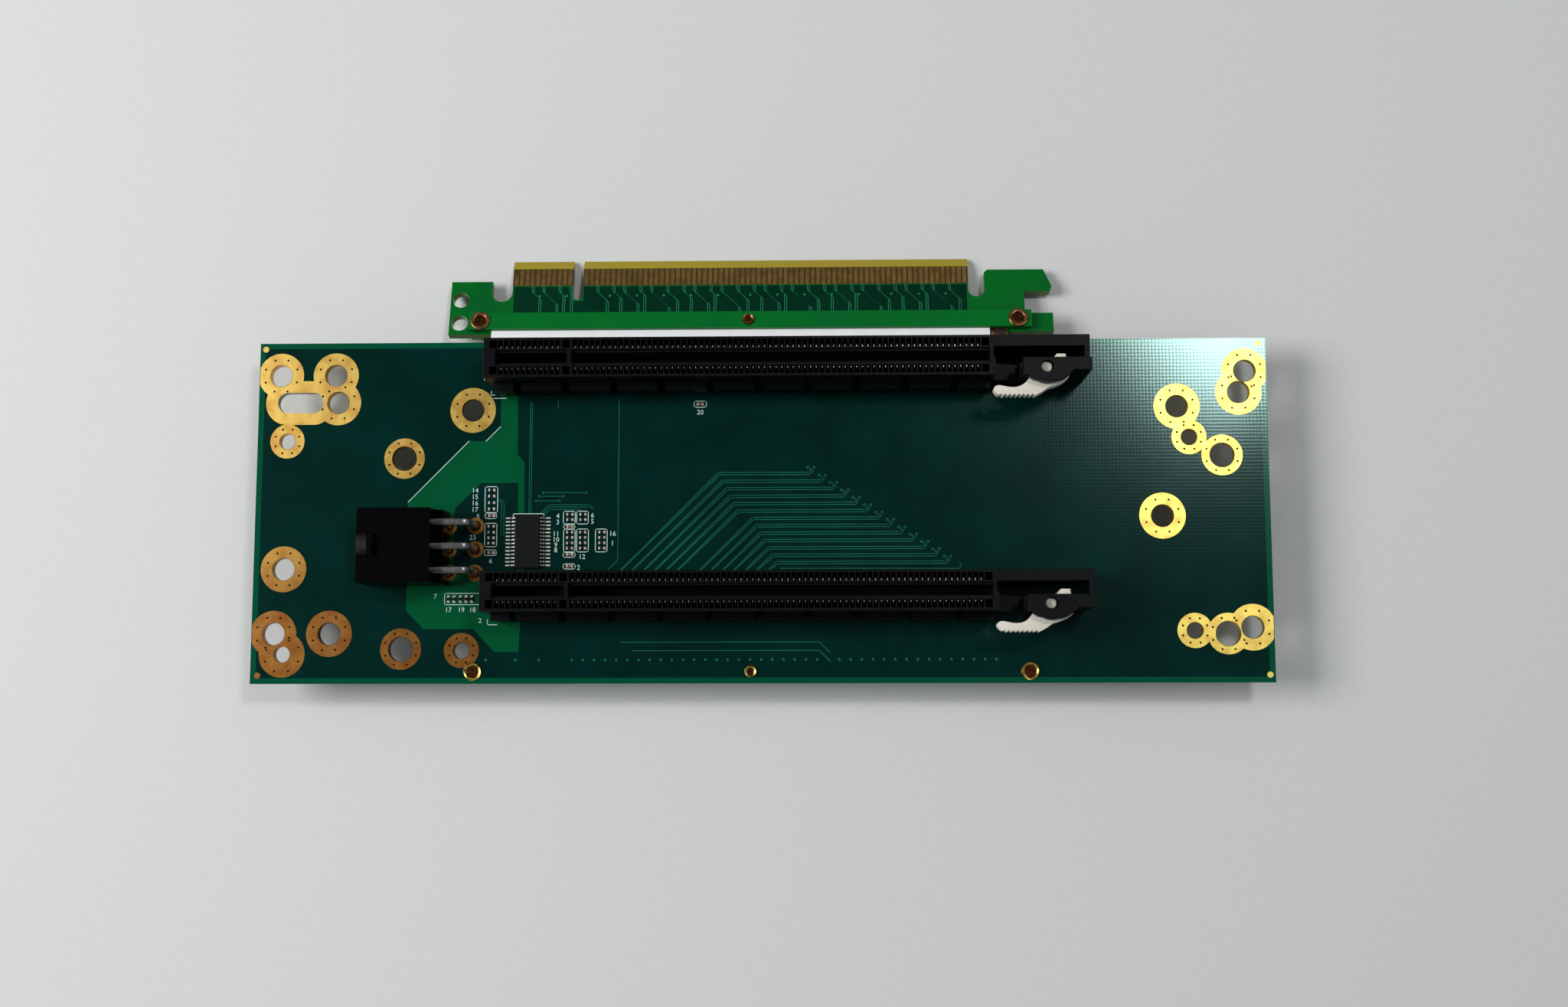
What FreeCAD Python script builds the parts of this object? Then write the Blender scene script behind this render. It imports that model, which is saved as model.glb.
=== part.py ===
import FreeCAD, Part
import math
import os
import Sketcher

# Double-slot riser card: a main board with two slots, tied by a flat ribbon to the plug card behind it.
# +X runs along the slots, +Y towards the plug card's gold fingers, +Z up from the surface it lies on.

doc = FreeCAD.newDocument("RiserCard")
sheet = doc.addObject("Spreadsheet::Sheet", "Sizes")

drivingSizes = [
    # main board
    ("board_width", 180.8),
    ("board_depth", 61.3),
    ("board_thickness", 1.6),
    ("board_front", -39.3),
    ("board_underside", 8.4),
    ("hole_large", 4.1),
    ("hole_wide", 4.5),
    ("hole_small", 3.0),
    ("long_hole_length", 8.4),
    ("long_hole_width", 3.9),
    # slots
    ("first_contact_place", -44.75),
    ("rear_slot_place", 17.0),
    ("slot_spacing", 40.64),
    ("contact_pitch", 1.0),
    ("contacts_before_key", 11),
    ("contacts_after_key", 71),
    ("key_step", 3.0),
    ("housing_margin", 2.95),
    ("housing_width", 7.0),
    ("housing_height", 11.25),
    ("housing_standoff", 0.3),
    ("card_slot_width", 1.8),
    ("card_slot_depth", 7.9),
    ("card_slot_mouth", 2.6),
    ("mouth_depth", 0.7),
    ("slot_end_gap", 0.8),
    ("key_wall", 1.7),
    ("window_width", 0.7),
    ("window_inner", 1.62),
    ("window_outer", 3.02),
    ("window_depth", 4.0),
    ("end_window_width", 1.3),
    ("tip_depth", 0.6),
    ("contact_proud", 0.25),
    ("tail_length", 1.5),
    ("tail_inner_row", 1.25),
    ("tail_outer_row", 2.9),
    ("contact_width", 0.42),
    ("spare_window_gap", 1.25),
    ("contact_clearance", 0.05),
    ("side_recesses", 10),
    ("side_recess_pitch", 8.55),
    ("side_recess_width", 1.45),
    ("side_recess_depth", 0.4),
    ("side_rim", 1.2),
    # latch frame at the right end of each slot
    ("latch_frame_length", 16.3),
    ("latch_wall", 0.9),
    ("latch_rail", 2.0),
    ("latch_gap", 1.9),
    ("latch_arm_height", 6.0),
    ("ear_rise", 2.25),
    ("ear_plate", 2.0),
    ("ear_length", 11.75),
    ("ear_tab", 3.2),
    ("ear_tab_width", 2.4),
    ("ear_radius", 2.85),
    ("ear_arc_start", 205.0),
    ("ear_arc_end", 322.0),
    ("pivot_from_end", 7.6),
    ("pivot_offset", -2.4),
    ("pivot_radius", 0.95),
    ("pivot_clearance", 0.06),
    ("lever_thickness", 2.8),
    ("lever_clearance", 0.12),
    ("lever_reach", 9.4),
    ("lever_teeth", 7),
    ("tooth_length", 0.8),
    ("tooth_depth", 0.3),
    ("pivot_root", 0.5),
    ("pivot_sink", 0.4),
    # power header
    ("header_left", -69.5),
    ("header_depth", 12.7),
    ("header_width", 13.0),
    ("header_height", 9.8),
    ("header_centre", -15.5),
    ("header_ledge", 1.5),
    ("header_ledge_height", 6.0),
    ("ramp_length", 2.9),
    ("ramp_flat", 0.9),
    ("ramp_rise", 1.0),
    ("ramp_start", 0.2),
    ("ramp_width", 3.8),
    ("cell_size", 3.5),
    ("cell_depth", 9.5),
    ("pin_pitch", 4.2),
    ("pin_width", 1.1),
    ("lower_pin_height", 2.8),
    ("lower_pin_run", 1.3),
    ("upper_pin_run", 6.1),
    ("pin_tail", 1.6),
    ("pin_setback", 2.5),
    ("pin_bevel", 0.8),
    # chip and small parts
    ("chip_centre_x", -41.3),
    ("chip_centre_y", -14.15),
    ("chip_width", 4.4),
    ("chip_length", 9.7),
    ("chip_height", 1.0),
    ("chip_standoff", 0.1),
    ("chip_draft", 4.0),
    ("leads_a_side", 14),
    ("lead_pitch", 0.65),
    ("lead_width", 0.24),
    ("lead_span", 6.4),
    ("lead_thickness", 0.14),
    ("small_part_length", 1.0),
    ("small_part_width", 0.5),
    ("small_part_height", 0.35),
    # plug card
    ("card_tilt", 14.0),
    ("card_tip", 39.3),
    ("card_left", -46.1),
    ("card_thickness", 1.6),
    ("card_length", 15.2),
    ("tongue_width", 84.3),
    ("tongue_bevel", 0.5),
    ("bevel_length", 1.3),
    ("card_key_centre", 12.15),
    ("card_key_width", 1.9),
    ("card_key_depth", 8.2),
    ("finger_margin", 0.65),
    ("finger_width", 0.7),
    ("finger_start", 1.3),
    ("finger_length", 3.95),
    ("finger_thickness", 0.06),
    ("first_finger_short", 1.2),
    ("left_notch", 3.75),
    ("left_notch_depth", 8.5),
    ("left_shoulder", 7.6),
    ("left_shoulder_start", 4.35),
    ("right_notch", 2.95),
    ("right_notch_depth", 8.0),
    ("right_shoulder_start", 2.5),
    ("right_shoulder_end", 7.0),
    ("right_reach", 15.3),
    ("right_waist", 10.2),
    ("right_tab_start", 11.45),
    ("shoulder_chamfer", 0.6),
    ("hook_slant", 1.4),
    ("hook_drop", 1.1),
    ("hook_nose", 0.4),
    ("card_hole", 3.1),
    ("card_hole_place", -9.4),
    ("card_hole_front", 8.1),
    ("card_hole_back", 12.8),
    # clamp strips, eyelets and ribbon
    ("strip_width", 3.3),
    ("strip_thickness", 0.8),
    ("strip_start", 11.45),
    ("strip_end", 2.2),
    ("strip_end_right", 2.4),
    ("board_strip_width", 4.2),
    ("eyelet_from_film", 2.0),
    ("card_eyelet_left", -5.3),
    ("board_eyelet_left", -50.8),
    ("board_eyelet_inset", 2.1),
    ("eyelet_bore", 2.0),
    ("eyelet_wall", 0.3),
    ("card_eyelet_flange", 3.7),
    ("board_eyelet_flange", 3.4),
    ("middle_eyelet_bore", 1.1),
    ("middle_eyelet_flange", 2.3),
    ("eyelet_rim", 0.35),
    ("eyelet_tail", 0.2),
    ("eyelet_sides", 8),
    ("ribbon_width", 91.2),
    ("ribbon_thickness", 0.6),
    ("ribbon_left", -3.3),
    ("ribbon_inset", 0.5),
    ("ribbon_leave", 4.6),
    ("ribbon_drop", 8.5),
    ("ribbon_rise", 9.5),
    ("ribbon_fold", 8.5),
    ("ribbon_bend", 7.0),
    ("film_width", 3.2),
    ("film_thickness", 0.2),
]
for row, (alias, value) in enumerate(drivingSizes, start=1):
    sheet.set("A%d" % row, alias)
    sheet.set("B%d" % row, str(value))
    sheet.setAlias("B%d" % row, alias)
doc.recompute()


def size(alias):
    return float(sheet.get(alias))


X = FreeCAD.Vector(1, 0, 0)
Y = FreeCAD.Vector(0, 1, 0)
Z = FreeCAD.Vector(0, 0, 1)
nodes = []


def keep(item, label):
    item.Label = label
    nodes.append(item)
    return item


def shapeNode(label, shape, placement=None):
    item = doc.addObject("Part::Feature", label)
    item.Shape = shape
    if placement is not None:
        item.Placement = placement
    return keep(item, label)


def newBody(label):
    body = doc.addObject("PartDesign::Body", label)
    return keep(body, label)


def originPlane(body, role):
    for feature in body.Origin.OriginFeatures:
        if feature.Role == role:
            return feature
    raise ValueError(role)


def newSketch(body, name, role="XY_Plane", lift=None):
    sketch = body.newObject("Sketcher::SketchObject", name)
    sketch.AttachmentSupport = [(originPlane(body, role), "")]
    sketch.MapMode = "FlatFace"
    if lift is not None:
        sketch.setExpression("AttachmentOffset.Base.z", lift)
    return sketch


def addRectangle(sketch, tag, left, bottom, width, depth):
    """Four lines held by expressions for the lower left corner, the width and the depth."""
    first = sketch.GeometryCount
    corners = [(0, 0), (1, 0), (1, 1), (0, 1)]
    for i in range(4):
        (x1, y1), (x2, y2) = corners[i], corners[(i + 1) % 4]
        line = Part.LineSegment(FreeCAD.Vector(x1, y1, 0), FreeCAD.Vector(x2, y2, 0))
        sketch.addGeometry(line, False)
    for i in range(4):
        sketch.addConstraint(Sketcher.Constraint("Coincident", first + i, 2, first + (i + 1) % 4, 1))
    sketch.addConstraint(Sketcher.Constraint("Horizontal", first))
    sketch.addConstraint(Sketcher.Constraint("Horizontal", first + 2))
    sketch.addConstraint(Sketcher.Constraint("Vertical", first + 1))
    sketch.addConstraint(Sketcher.Constraint("Vertical", first + 3))
    limits = [
        ("W", "DistanceX", (first, 1, first, 2), width),
        ("D", "DistanceY", (first + 1, 1, first + 1, 2), depth),
        ("L", "DistanceX", (-1, 1, first, 1), left),
        ("B", "DistanceY", (-1, 1, first, 1), bottom),
    ]
    for letter, kind, where, expression in limits:
        index = sketch.addConstraint(Sketcher.Constraint(kind, *where, 1.0))
        sketch.renameConstraint(index, tag + letter)
        sketch.setExpression("Constraints." + tag + letter, expression)


def addOutline(sketch, corners):
    """Straight lines round the corners, closed."""
    points = [FreeCAD.Vector(a, b, 0) for a, b in corners]
    for a, b in zip(points, points[1:] + points[:1]):
        sketch.addGeometry(Part.LineSegment(a, b), False)


def addPad(body, name, sketch, length, down=False):
    pad = body.newObject("PartDesign::Pad", name)
    pad.Profile = sketch
    pad.setExpression("Length", length)
    pad.Reversed = down
    return pad


def addPocket(body, name, sketch, length, up=False):
    pocket = body.newObject("PartDesign::Pocket", name)
    pocket.Profile = sketch
    pocket.setExpression("Length", length)
    pocket.Reversed = up
    return pocket


def addRow(body, name, feature, length, occurrences):
    pattern = body.newObject("PartDesign::LinearPattern", name)
    pattern.Originals = [feature]
    pattern.Direction = (originPlane(body, "X_Axis"), [""])
    pattern.setExpression("Length", length)
    pattern.setExpression("Occurrences", occurrences)
    body.Tip = pattern
    return pattern


def prism(points, along, length):
    """A straight prism on a closed outline of points, pushed by length."""
    face = Part.Face(Part.makePolygon(points + [points[0]]))
    return face.extrude(along * length)


def fourSided(corners):
    """The slender solid between four corners."""
    faces = []
    for left_out in range(4):
        three = [corners[i] for i in range(4) if i != left_out]
        faces.append(Part.Face(Part.makePolygon(three + [three[0]])))
    solid = Part.Solid(Part.Shell(faces))
    if solid.Volume < 0:
        solid.reverse()
    return solid


def block(x, y, z, length, width, height):
    return Part.makeBox(length, width, height, FreeCAD.Vector(x, y, z))


# Places that several pieces share
boardTop = size("board_underside") + size("board_thickness")
beforeKey = int(size("contacts_before_key"))
afterKey = int(size("contacts_after_key"))
pitch = size("contact_pitch")


def contactPlaces():
    """Distance of each contact from the first one, with the wider step at the key."""
    left = [i * pitch for i in range(beforeKey)]
    start = left[-1] + size("key_step")
    return left + [start + i * pitch for i in range(afterKey)]


contactRow = contactPlaces()
keyPlace = (contactRow[beforeKey - 1] + contactRow[beforeKey]) / 2
housingEnd = contactRow[-1] + size("housing_margin")


# Main board: every mounting hole as x, y and its kind, counted from the first contact of the rear slot
mountingHoles = [
    (-41.7, -0.95, "large"), (-31.75, -0.95, "large"), (-31.2, -5.9, "large"), (-40.25, -12.9, "small"),
    (-6.8, -7.4, "large"), (-19.0, -16.1, "wide"), (-40.25, -35.95, "large"), (-41.7, -47.45, "large"),
    (-40.1, -51.1, "small"), (-31.75, -47.45, "large"), (-18.9, -50.2, "wide"), (-8.1, -50.45, "small"),
    (131.3, -0.95, "large"), (130.1, -4.8, "large"), (119.1, -7.3, "large"), (121.15, -12.85, "small"),
    (126.9, -16.1, "wide"), (116.1, -26.9, "large"), (121.3, -47.2, "small"), (127.1, -47.75, "wide"),
    (131.4, -46.65, "large"),
]
longHole = (-38.05, -5.9)
mountingOrigin = FreeCAD.Vector(size("first_contact_place"), size("rear_slot_place"), 0)


def addSlotOutline(sketch, x, y, length, width):
    """A long hole with round ends, along X."""
    r = width / 2
    half = length / 2 - r
    rightCentre = FreeCAD.Vector(x + half, y, 0)
    leftCentre = FreeCAD.Vector(x - half, y, 0)
    quarter = math.pi / 2
    sketch.addGeometry(Part.ArcOfCircle(Part.Circle(rightCentre, Z, r), -quarter, quarter), False)
    sketch.addGeometry(Part.ArcOfCircle(Part.Circle(leftCentre, Z, r), quarter, 3 * quarter), False)
    for side in (-r, r):
        start = FreeCAD.Vector(x - half, y + side, 0)
        end = FreeCAD.Vector(x + half, y + side, 0)
        sketch.addGeometry(Part.LineSegment(start, end), False)


def makeMainBoard():
    body = newBody("main_board")
    outline = newSketch(body, "BoardOutline", lift="Sizes.board_underside")
    addRectangle(outline, "Edge", "-Sizes.board_width / 2", "Sizes.board_front",
                 "Sizes.board_width", "Sizes.board_depth")
    addPad(body, "BoardSheet", outline, "Sizes.board_thickness")
    holes = newSketch(body, "MountingHoles", lift="Sizes.board_underside + Sizes.board_thickness")
    for number, (x, y, kind) in enumerate(mountingHoles):
        centre = mountingOrigin + FreeCAD.Vector(x, y, 0)
        sketchCircle(holes, "Hole%d" % number, centre, "Sizes.hole_%s" % kind)
    long = mountingOrigin + FreeCAD.Vector(longHole[0], longHole[1], 0)
    addSlotOutline(holes, long.x, long.y, size("long_hole_length"), size("long_hole_width"))
    addPocket(body, "HolesThrough", holes, "Sizes.board_thickness")
    return body


def sketchCircle(sketch, tag, centre, diameter):
    index = sketch.addGeometry(Part.Circle(FreeCAD.Vector(centre.x, centre.y, 0), Z, 1.0), False)
    sketch.addConstraint(Sketcher.Constraint("DistanceX", -1, 1, index, 3, centre.x))
    sketch.addConstraint(Sketcher.Constraint("DistanceY", -1, 1, index, 3, centre.y))
    rule = sketch.addConstraint(Sketcher.Constraint("Diameter", index, 2.0))
    sketch.renameConstraint(rule, tag)
    sketch.setExpression("Constraints." + tag, diameter)


# Outer eyelets stand either side of the ribbon and its film, and the strips reach past them
eyeletSpacing = size("ribbon_left") + size("ribbon_width") + size("film_width") \
    + size("eyelet_from_film") - size("card_eyelet_left")


def boardEyelets():
    y = size("board_front") + size("board_eyelet_inset")
    left = size("board_eyelet_left")
    return [FreeCAD.Vector(left + i * eyeletSpacing / 2, y, 0) for i in range(3)]


# Slot housing: the first contact is the body's own x = 0, its centre line y = 0 and the board's top z = 0
def makeSlotHousing(label, slotY):
    body = newBody(label)
    left = "-Sizes.housing_margin"
    half = "Sizes.housing_width / 2"
    span = "(Sizes.contacts_before_key + Sizes.contacts_after_key - 2) * Sizes.contact_pitch" \
        " + Sizes.key_step"
    full = span + " + 2 * Sizes.housing_margin"

    outline = newSketch(body, label + "_outline")
    addRectangle(outline, "Edge", left, "-" + half, full, "Sizes.housing_width")
    addPad(body, label + "_block", outline, "Sizes.housing_height")

    # Latch frame, moulded on: back rail, end wall, low arm and the ear with its tab
    frameBack = half + " - Sizes.latch_rail"
    frameLeft = span + " + Sizes.housing_margin"
    inside = "-(Sizes.latch_gap - (%s))" % frameBack
    rail = newSketch(body, label + "_rail")
    addRectangle(rail, "Rail", frameLeft, frameBack, "Sizes.latch_frame_length", "Sizes.latch_rail")
    addPad(body, label + "_rail_pad", rail, "Sizes.housing_height")
    wall = newSketch(body, label + "_wall")
    addRectangle(wall, "Wall", frameLeft + " + Sizes.latch_frame_length - Sizes.latch_wall", inside,
                 "Sizes.latch_wall", "Sizes.latch_gap")
    addPad(body, label + "_wall_pad", wall, "Sizes.housing_height")
    arm = newSketch(body, label + "_arm")
    addRectangle(arm, "Arm", frameLeft, "-" + half,
                 "Sizes.latch_frame_length - Sizes.ear_length", "%s - (-(%s))" % (inside, half))
    addPad(body, label + "_arm_pad", arm, "Sizes.latch_arm_height")

    insideY = size("housing_width") / 2 - size("latch_rail") - size("latch_gap")
    earRight = housingEnd + size("latch_frame_length")
    earLeft = earRight - size("ear_length")
    tabLeft = earRight - size("ear_tab")
    tabBottom = insideY - size("ear_tab_width")
    pivot = FreeCAD.Vector(earRight - size("pivot_from_end"), size("pivot_offset"), 0)
    lower = size("housing_height") + size("ear_rise") - size("ear_plate") \
        - size("lever_thickness") - 2 * size("lever_clearance")
    for name, base, height in (
            ("ear_lower", None, "%f" % lower),
            ("ear_upper", "Sizes.housing_height + Sizes.ear_rise - Sizes.ear_plate", "Sizes.ear_plate")):
        ear = newSketch(body, label + "_" + name, lift=base)
        earOutline(ear, earLeft, earRight, tabLeft, insideY, tabBottom, pivot)
        addPad(body, label + "_" + name + "_pad", ear, height)
    tab = newSketch(body, label + "_tab")
    addRectangle(tab, "Tab", "%f" % tabLeft, "%f" % tabBottom, "Sizes.ear_tab", "Sizes.ear_tab_width")
    addPad(body, label + "_tab_pad", tab, "Sizes.housing_height + Sizes.ear_rise")
    bore = newSketch(body, label + "_pivot_bore", lift="Sizes.housing_height + Sizes.ear_rise")
    sketchCircle(bore, "Bore", pivot, "2 * (Sizes.pivot_radius + Sizes.pivot_clearance)")
    addPocket(body, label + "_pivot_cut", bore, "Sizes.ear_plate")

    # Card slot in two lengths, one each side of the key wall, with a wider mouth
    slotLeft = "-Sizes.slot_end_gap"
    keyMiddle = "(Sizes.contacts_before_key - 1) * Sizes.contact_pitch + Sizes.key_step / 2"
    runs = [
        ("A", slotLeft, keyMiddle + " - Sizes.key_wall / 2 + Sizes.slot_end_gap"),
        ("B", keyMiddle + " + Sizes.key_wall / 2",
         span + " + Sizes.slot_end_gap - (" + keyMiddle + ") - Sizes.key_wall / 2"),
    ]
    for name, width, depth in (("slot", "Sizes.card_slot_width", "Sizes.card_slot_depth"),
                               ("mouth", "Sizes.card_slot_mouth", "Sizes.mouth_depth")):
        trench = newSketch(body, label + "_" + name, lift="Sizes.housing_height")
        for tag, start, length in runs:
            addRectangle(trench, tag, start, "-%s / 2" % width, length, width)
        addPocket(body, label + "_" + name + "_cut", trench, depth)

    # Contact windows: wedges whose floor slopes from the card slot down to the outer wall
    for name, start, count in (("near", 0.0, "Sizes.contacts_before_key"),
                               ("far", contactRow[beforeKey], "Sizes.contacts_after_key")):
        window = newSketch(body, label + "_window_" + name, role="YZ_Plane",
                           lift="%f - Sizes.window_width / 2" % start)
        for side in (1, -1):
            addOutline(window, windowSection(side))
        pocket = addPocket(body, label + "_window_cut_" + name, window, "Sizes.window_width", up=True)
        addRow(body, label + "_windows_" + name, pocket,
               "(%s - 1) * Sizes.contact_pitch" % count, count)
    spare = newSketch(body, label + "_spare_windows", lift="Sizes.housing_height")
    beside = size("spare_window_gap")
    places = [-beside, keyPlace, contactRow[-1] + beside]
    for i, place in enumerate(places):
        for tag, bottom in (("P", "Sizes.window_inner"), ("Q", "-Sizes.window_outer")):
            addRectangle(spare, tag + str(i), "%f - Sizes.end_window_width / 2" % place, bottom,
                         "Sizes.end_window_width", "Sizes.window_outer - Sizes.window_inner")
    addPocket(body, label + "_spare_cut", spare, "Sizes.window_depth")

    # Shallow upright recesses along the front face, and the gap under the housing
    recess = newSketch(body, label + "_recess")
    addRectangle(recess, "Edge", "Sizes.side_recess_width", "-" + half,
                 "Sizes.side_recess_width", "Sizes.side_recess_depth")
    cut = addPocket(body, label + "_recess_cut", recess, "Sizes.housing_height - Sizes.side_rim", up=True)
    addRow(body, label + "_recesses", cut, "(Sizes.side_recesses - 1) * Sizes.side_recess_pitch",
           "Sizes.side_recesses")
    under = newSketch(body, label + "_under")
    addRectangle(under, "Under", "Sizes.contact_pitch", "-" + half,
                 span + " - 2 * Sizes.contact_pitch", "Sizes.housing_width")
    body.Tip = addPocket(body, label + "_under_cut", under, "Sizes.housing_standoff", up=True)
    placeSlot(body, slotY)
    return body


def windowSection(side):
    """Section of a contact window across the slot, on the side given as 1 or -1."""
    top = size("housing_height")
    inner = side * size("window_inner")
    outer = side * size("window_outer")
    return [(inner, top), (outer, top), (outer, top - size("window_depth"))]


def placeSlot(item, slotY):
    item.setExpression("Placement.Base.x", "Sizes.first_contact_place")
    item.setExpression("Placement.Base.y", slotY)
    item.setExpression("Placement.Base.z", "Sizes.board_underside + Sizes.board_thickness")


def earOutline(sketch, left, right, tabLeft, top, tabBottom, pivot):
    """Ear seen from above: straight towards the card slot, round about the pivot, stepped at the tab."""
    r = size("ear_radius")
    start = math.radians(size("ear_arc_start"))
    end = math.radians(size("ear_arc_end"))
    circle = Part.Circle(FreeCAD.Vector(pivot.x, pivot.y, 0), Z, r)
    first = FreeCAD.Vector(pivot.x + r * math.cos(start), pivot.y + r * math.sin(start), 0)
    last = FreeCAD.Vector(pivot.x + r * math.cos(end), pivot.y + r * math.sin(end), 0)
    sketch.addGeometry(Part.ArcOfCircle(circle, start, end), False)
    corners = [last, FreeCAD.Vector(tabLeft, tabBottom, 0), FreeCAD.Vector(tabLeft, top, 0),
               FreeCAD.Vector(left, top, 0), FreeCAD.Vector(left, first.y, 0), first]
    for a, b in zip(corners, corners[1:]):
        sketch.addGeometry(Part.LineSegment(a, b), False)


def makeContacts(label, side, slotY):
    """One row of sprung contacts: wide tip by the card slot, foot at the outer wall, tail below."""
    top = size("housing_height")
    bottom = -size("board_thickness") - size("tail_length")
    slope = size("window_depth") / (size("window_outer") - size("window_inner"))
    tipPlace = size("window_inner") + size("tip_depth") / slope
    proud = size("contact_proud")
    width = size("contact_width")
    shapes = []
    for number, place in enumerate(contactRow):
        tail = size("tail_inner_row") if number % 2 else size("tail_outer_row")
        foot = size("window_outer") - size("contact_clearance")
        footLevel = top - (foot - size("window_inner")) * slope + proud
        tipLevel = top - size("tip_depth") + proud
        corners = [FreeCAD.Vector(place - width / 2, side * tipPlace, tipLevel),
                   FreeCAD.Vector(place + width / 2, side * tipPlace, tipLevel),
                   FreeCAD.Vector(place, side * foot, footLevel),
                   FreeCAD.Vector(place, side * tail, bottom)]
        shapes.append(fourSided(corners))
    item = shapeNode(label, Part.makeCompound(shapes))
    placeSlot(item, slotY)
    return item


def makeLatchLever(label, slotY):
    """White lever on a short pivot: a curved grip with serrations, and a beak over the card slot."""
    body = newBody(label)
    earTop = size("housing_height") + size("ear_rise")
    base = earTop - size("ear_plate") - size("lever_clearance") - size("lever_thickness")
    pivot = FreeCAD.Vector(housingEnd + size("latch_frame_length") - size("pivot_from_end"),
                           size("pivot_offset"), 0)
    outline = newSketch(body, label + "_outline", lift="%f" % base)
    leverOutline(outline)
    addPad(body, label + "_plate", outline, "Sizes.lever_thickness")
    root = "%f - Sizes.pivot_root" % (base + size("lever_thickness"))
    pin = newSketch(body, label + "_pivot_outline", lift=root)
    sketchCircle(pin, "Pivot", FreeCAD.Vector(0, 0, 0), "2 * Sizes.pivot_radius")
    body.Tip = addPad(body, label + "_pivot", pin,
                      "Sizes.pivot_root + Sizes.lever_clearance + Sizes.ear_plate - Sizes.pivot_sink")
    body.setExpression("Placement.Base.x", "Sizes.first_contact_place + %f" % pivot.x)
    body.setExpression("Placement.Base.y", slotY + " + Sizes.pivot_offset")
    body.setExpression("Placement.Base.z", "Sizes.board_underside + Sizes.board_thickness")
    return body


def leverOutline(sketch):
    """Outline about the pivot: beak at the upper right, grip at the lower left."""
    reach = size("lever_reach")
    beak = [(-1.5, 1.6), (0.9, 2.05), (1.25, 2.75), (3.3, 2.75), (3.35, 0.9), (2.6, -1.2), (0.55, -3.0)]
    gripStart = -2.15
    gripLevel = -4.85
    grip = []
    for i in range(int(size("lever_teeth"))):
        x = gripStart - i * size("tooth_length")
        grip.append((x, gripLevel))
        grip.append((x - size("tooth_length") / 2, gripLevel + size("tooth_depth")))
    tip = [(-reach + 1.6, -4.75), (-reach + 0.2, -3.75), (-reach, -3.2), (-reach + 0.5, -2.65)]
    back = [(-reach + 1.5, -2.75), (-6.2, -3.15), (-4.45, -2.95), (-3.15, -1.9), (-2.3, -0.4)]
    addOutline(sketch, beak + grip + tip + back)


# Power header: three pins over three, mating face to -X
def pinRows():
    middle = size("header_centre")
    return [middle + i * size("pin_pitch") for i in (-1, 0, 1)]


def makePowerHeader():
    body = newBody("power_header_housing")
    outline = newSketch(body, "HeaderOutline", lift="Sizes.board_underside + Sizes.board_thickness")
    addRectangle(outline, "Edge", "Sizes.header_left", "Sizes.header_centre - Sizes.header_width / 2",
                 "Sizes.header_depth", "Sizes.header_width")
    addPad(body, "HeaderBlock", outline, "Sizes.header_height")
    ledge = newSketch(body, "HeaderLedge", lift="Sizes.board_underside + Sizes.board_thickness")
    addRectangle(ledge, "Ledge", "Sizes.header_left + Sizes.header_depth",
                 "Sizes.header_centre - Sizes.header_width / 2", "Sizes.header_ledge", "Sizes.header_width")
    addPad(body, "HeaderLedgePad", ledge, "Sizes.header_ledge_height")
    ramp = newSketch(body, "HeaderRamp", role="XZ_Plane",
                     lift="-(Sizes.header_centre + Sizes.ramp_width / 2)")
    z = boardTop + size("header_height")
    x = size("header_left")
    end = x + size("ramp_length")
    rise = size("ramp_rise")
    corners = [(x, z - rise), (end, z - rise), (end, z + rise), (end - size("ramp_flat"), z + rise),
               (x, z + size("ramp_start"))]
    addOutline(ramp, corners)
    addPad(body, "HeaderRampPad", ramp, "Sizes.ramp_width")
    cells = newSketch(body, "HeaderCells", role="YZ_Plane", lift="Sizes.header_left")
    lowest = boardTop + size("lower_pin_height")
    for i, y in enumerate(pinRows()):
        for j in (0, 1):
            level = lowest + j * size("pin_pitch")
            addRectangle(cells, "Cell%d%d" % (i, j), "%f - Sizes.cell_size / 2" % y,
                         "%f - Sizes.cell_size / 2" % level, "Sizes.cell_size", "Sizes.cell_size")
    body.Tip = addPocket(body, "HeaderCellsCut", cells, "Sizes.cell_depth", up=True)
    return body


def makePowerPins(label, level, run):
    """Square pins: from inside a cell, out at the back, and down through the board."""
    wide = size("pin_width")
    back = size("header_left") + size("header_depth")
    front = size("header_left") + size("pin_setback")
    z = boardTop + level
    x = back + run
    bend = size("pin_bevel")
    bottom = size("board_underside") - size("pin_tail")
    outline = [(front, z - wide / 2), (front, z + wide / 2), (x + wide / 2 - bend, z + wide / 2),
               (x + wide / 2, z + wide / 2 - bend), (x + wide / 2, bottom), (x - wide / 2, bottom),
               (x - wide / 2, z - wide / 2)]
    shapes = []
    for y in pinRows():
        points = [FreeCAD.Vector(a, y - wide / 2, b) for a, b in outline]
        shapes.append(prism(points, Y, wide))
    return shapeNode(label, Part.makeCompound(shapes))


# Chip, its leads and the small parts round it
def makeChip():
    body = newBody("chip_package")
    outline = newSketch(body, "ChipOutline",
                        lift="Sizes.board_underside + Sizes.board_thickness + Sizes.chip_standoff")
    addRectangle(outline, "Edge", "Sizes.chip_centre_x - Sizes.chip_width / 2",
                 "Sizes.chip_centre_y - Sizes.chip_length / 2", "Sizes.chip_width", "Sizes.chip_length")
    pad = addPad(body, "ChipBlock", outline, "Sizes.chip_height")
    pad.setExpression("TaperAngle", "-Sizes.chip_draft")
    return body


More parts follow.
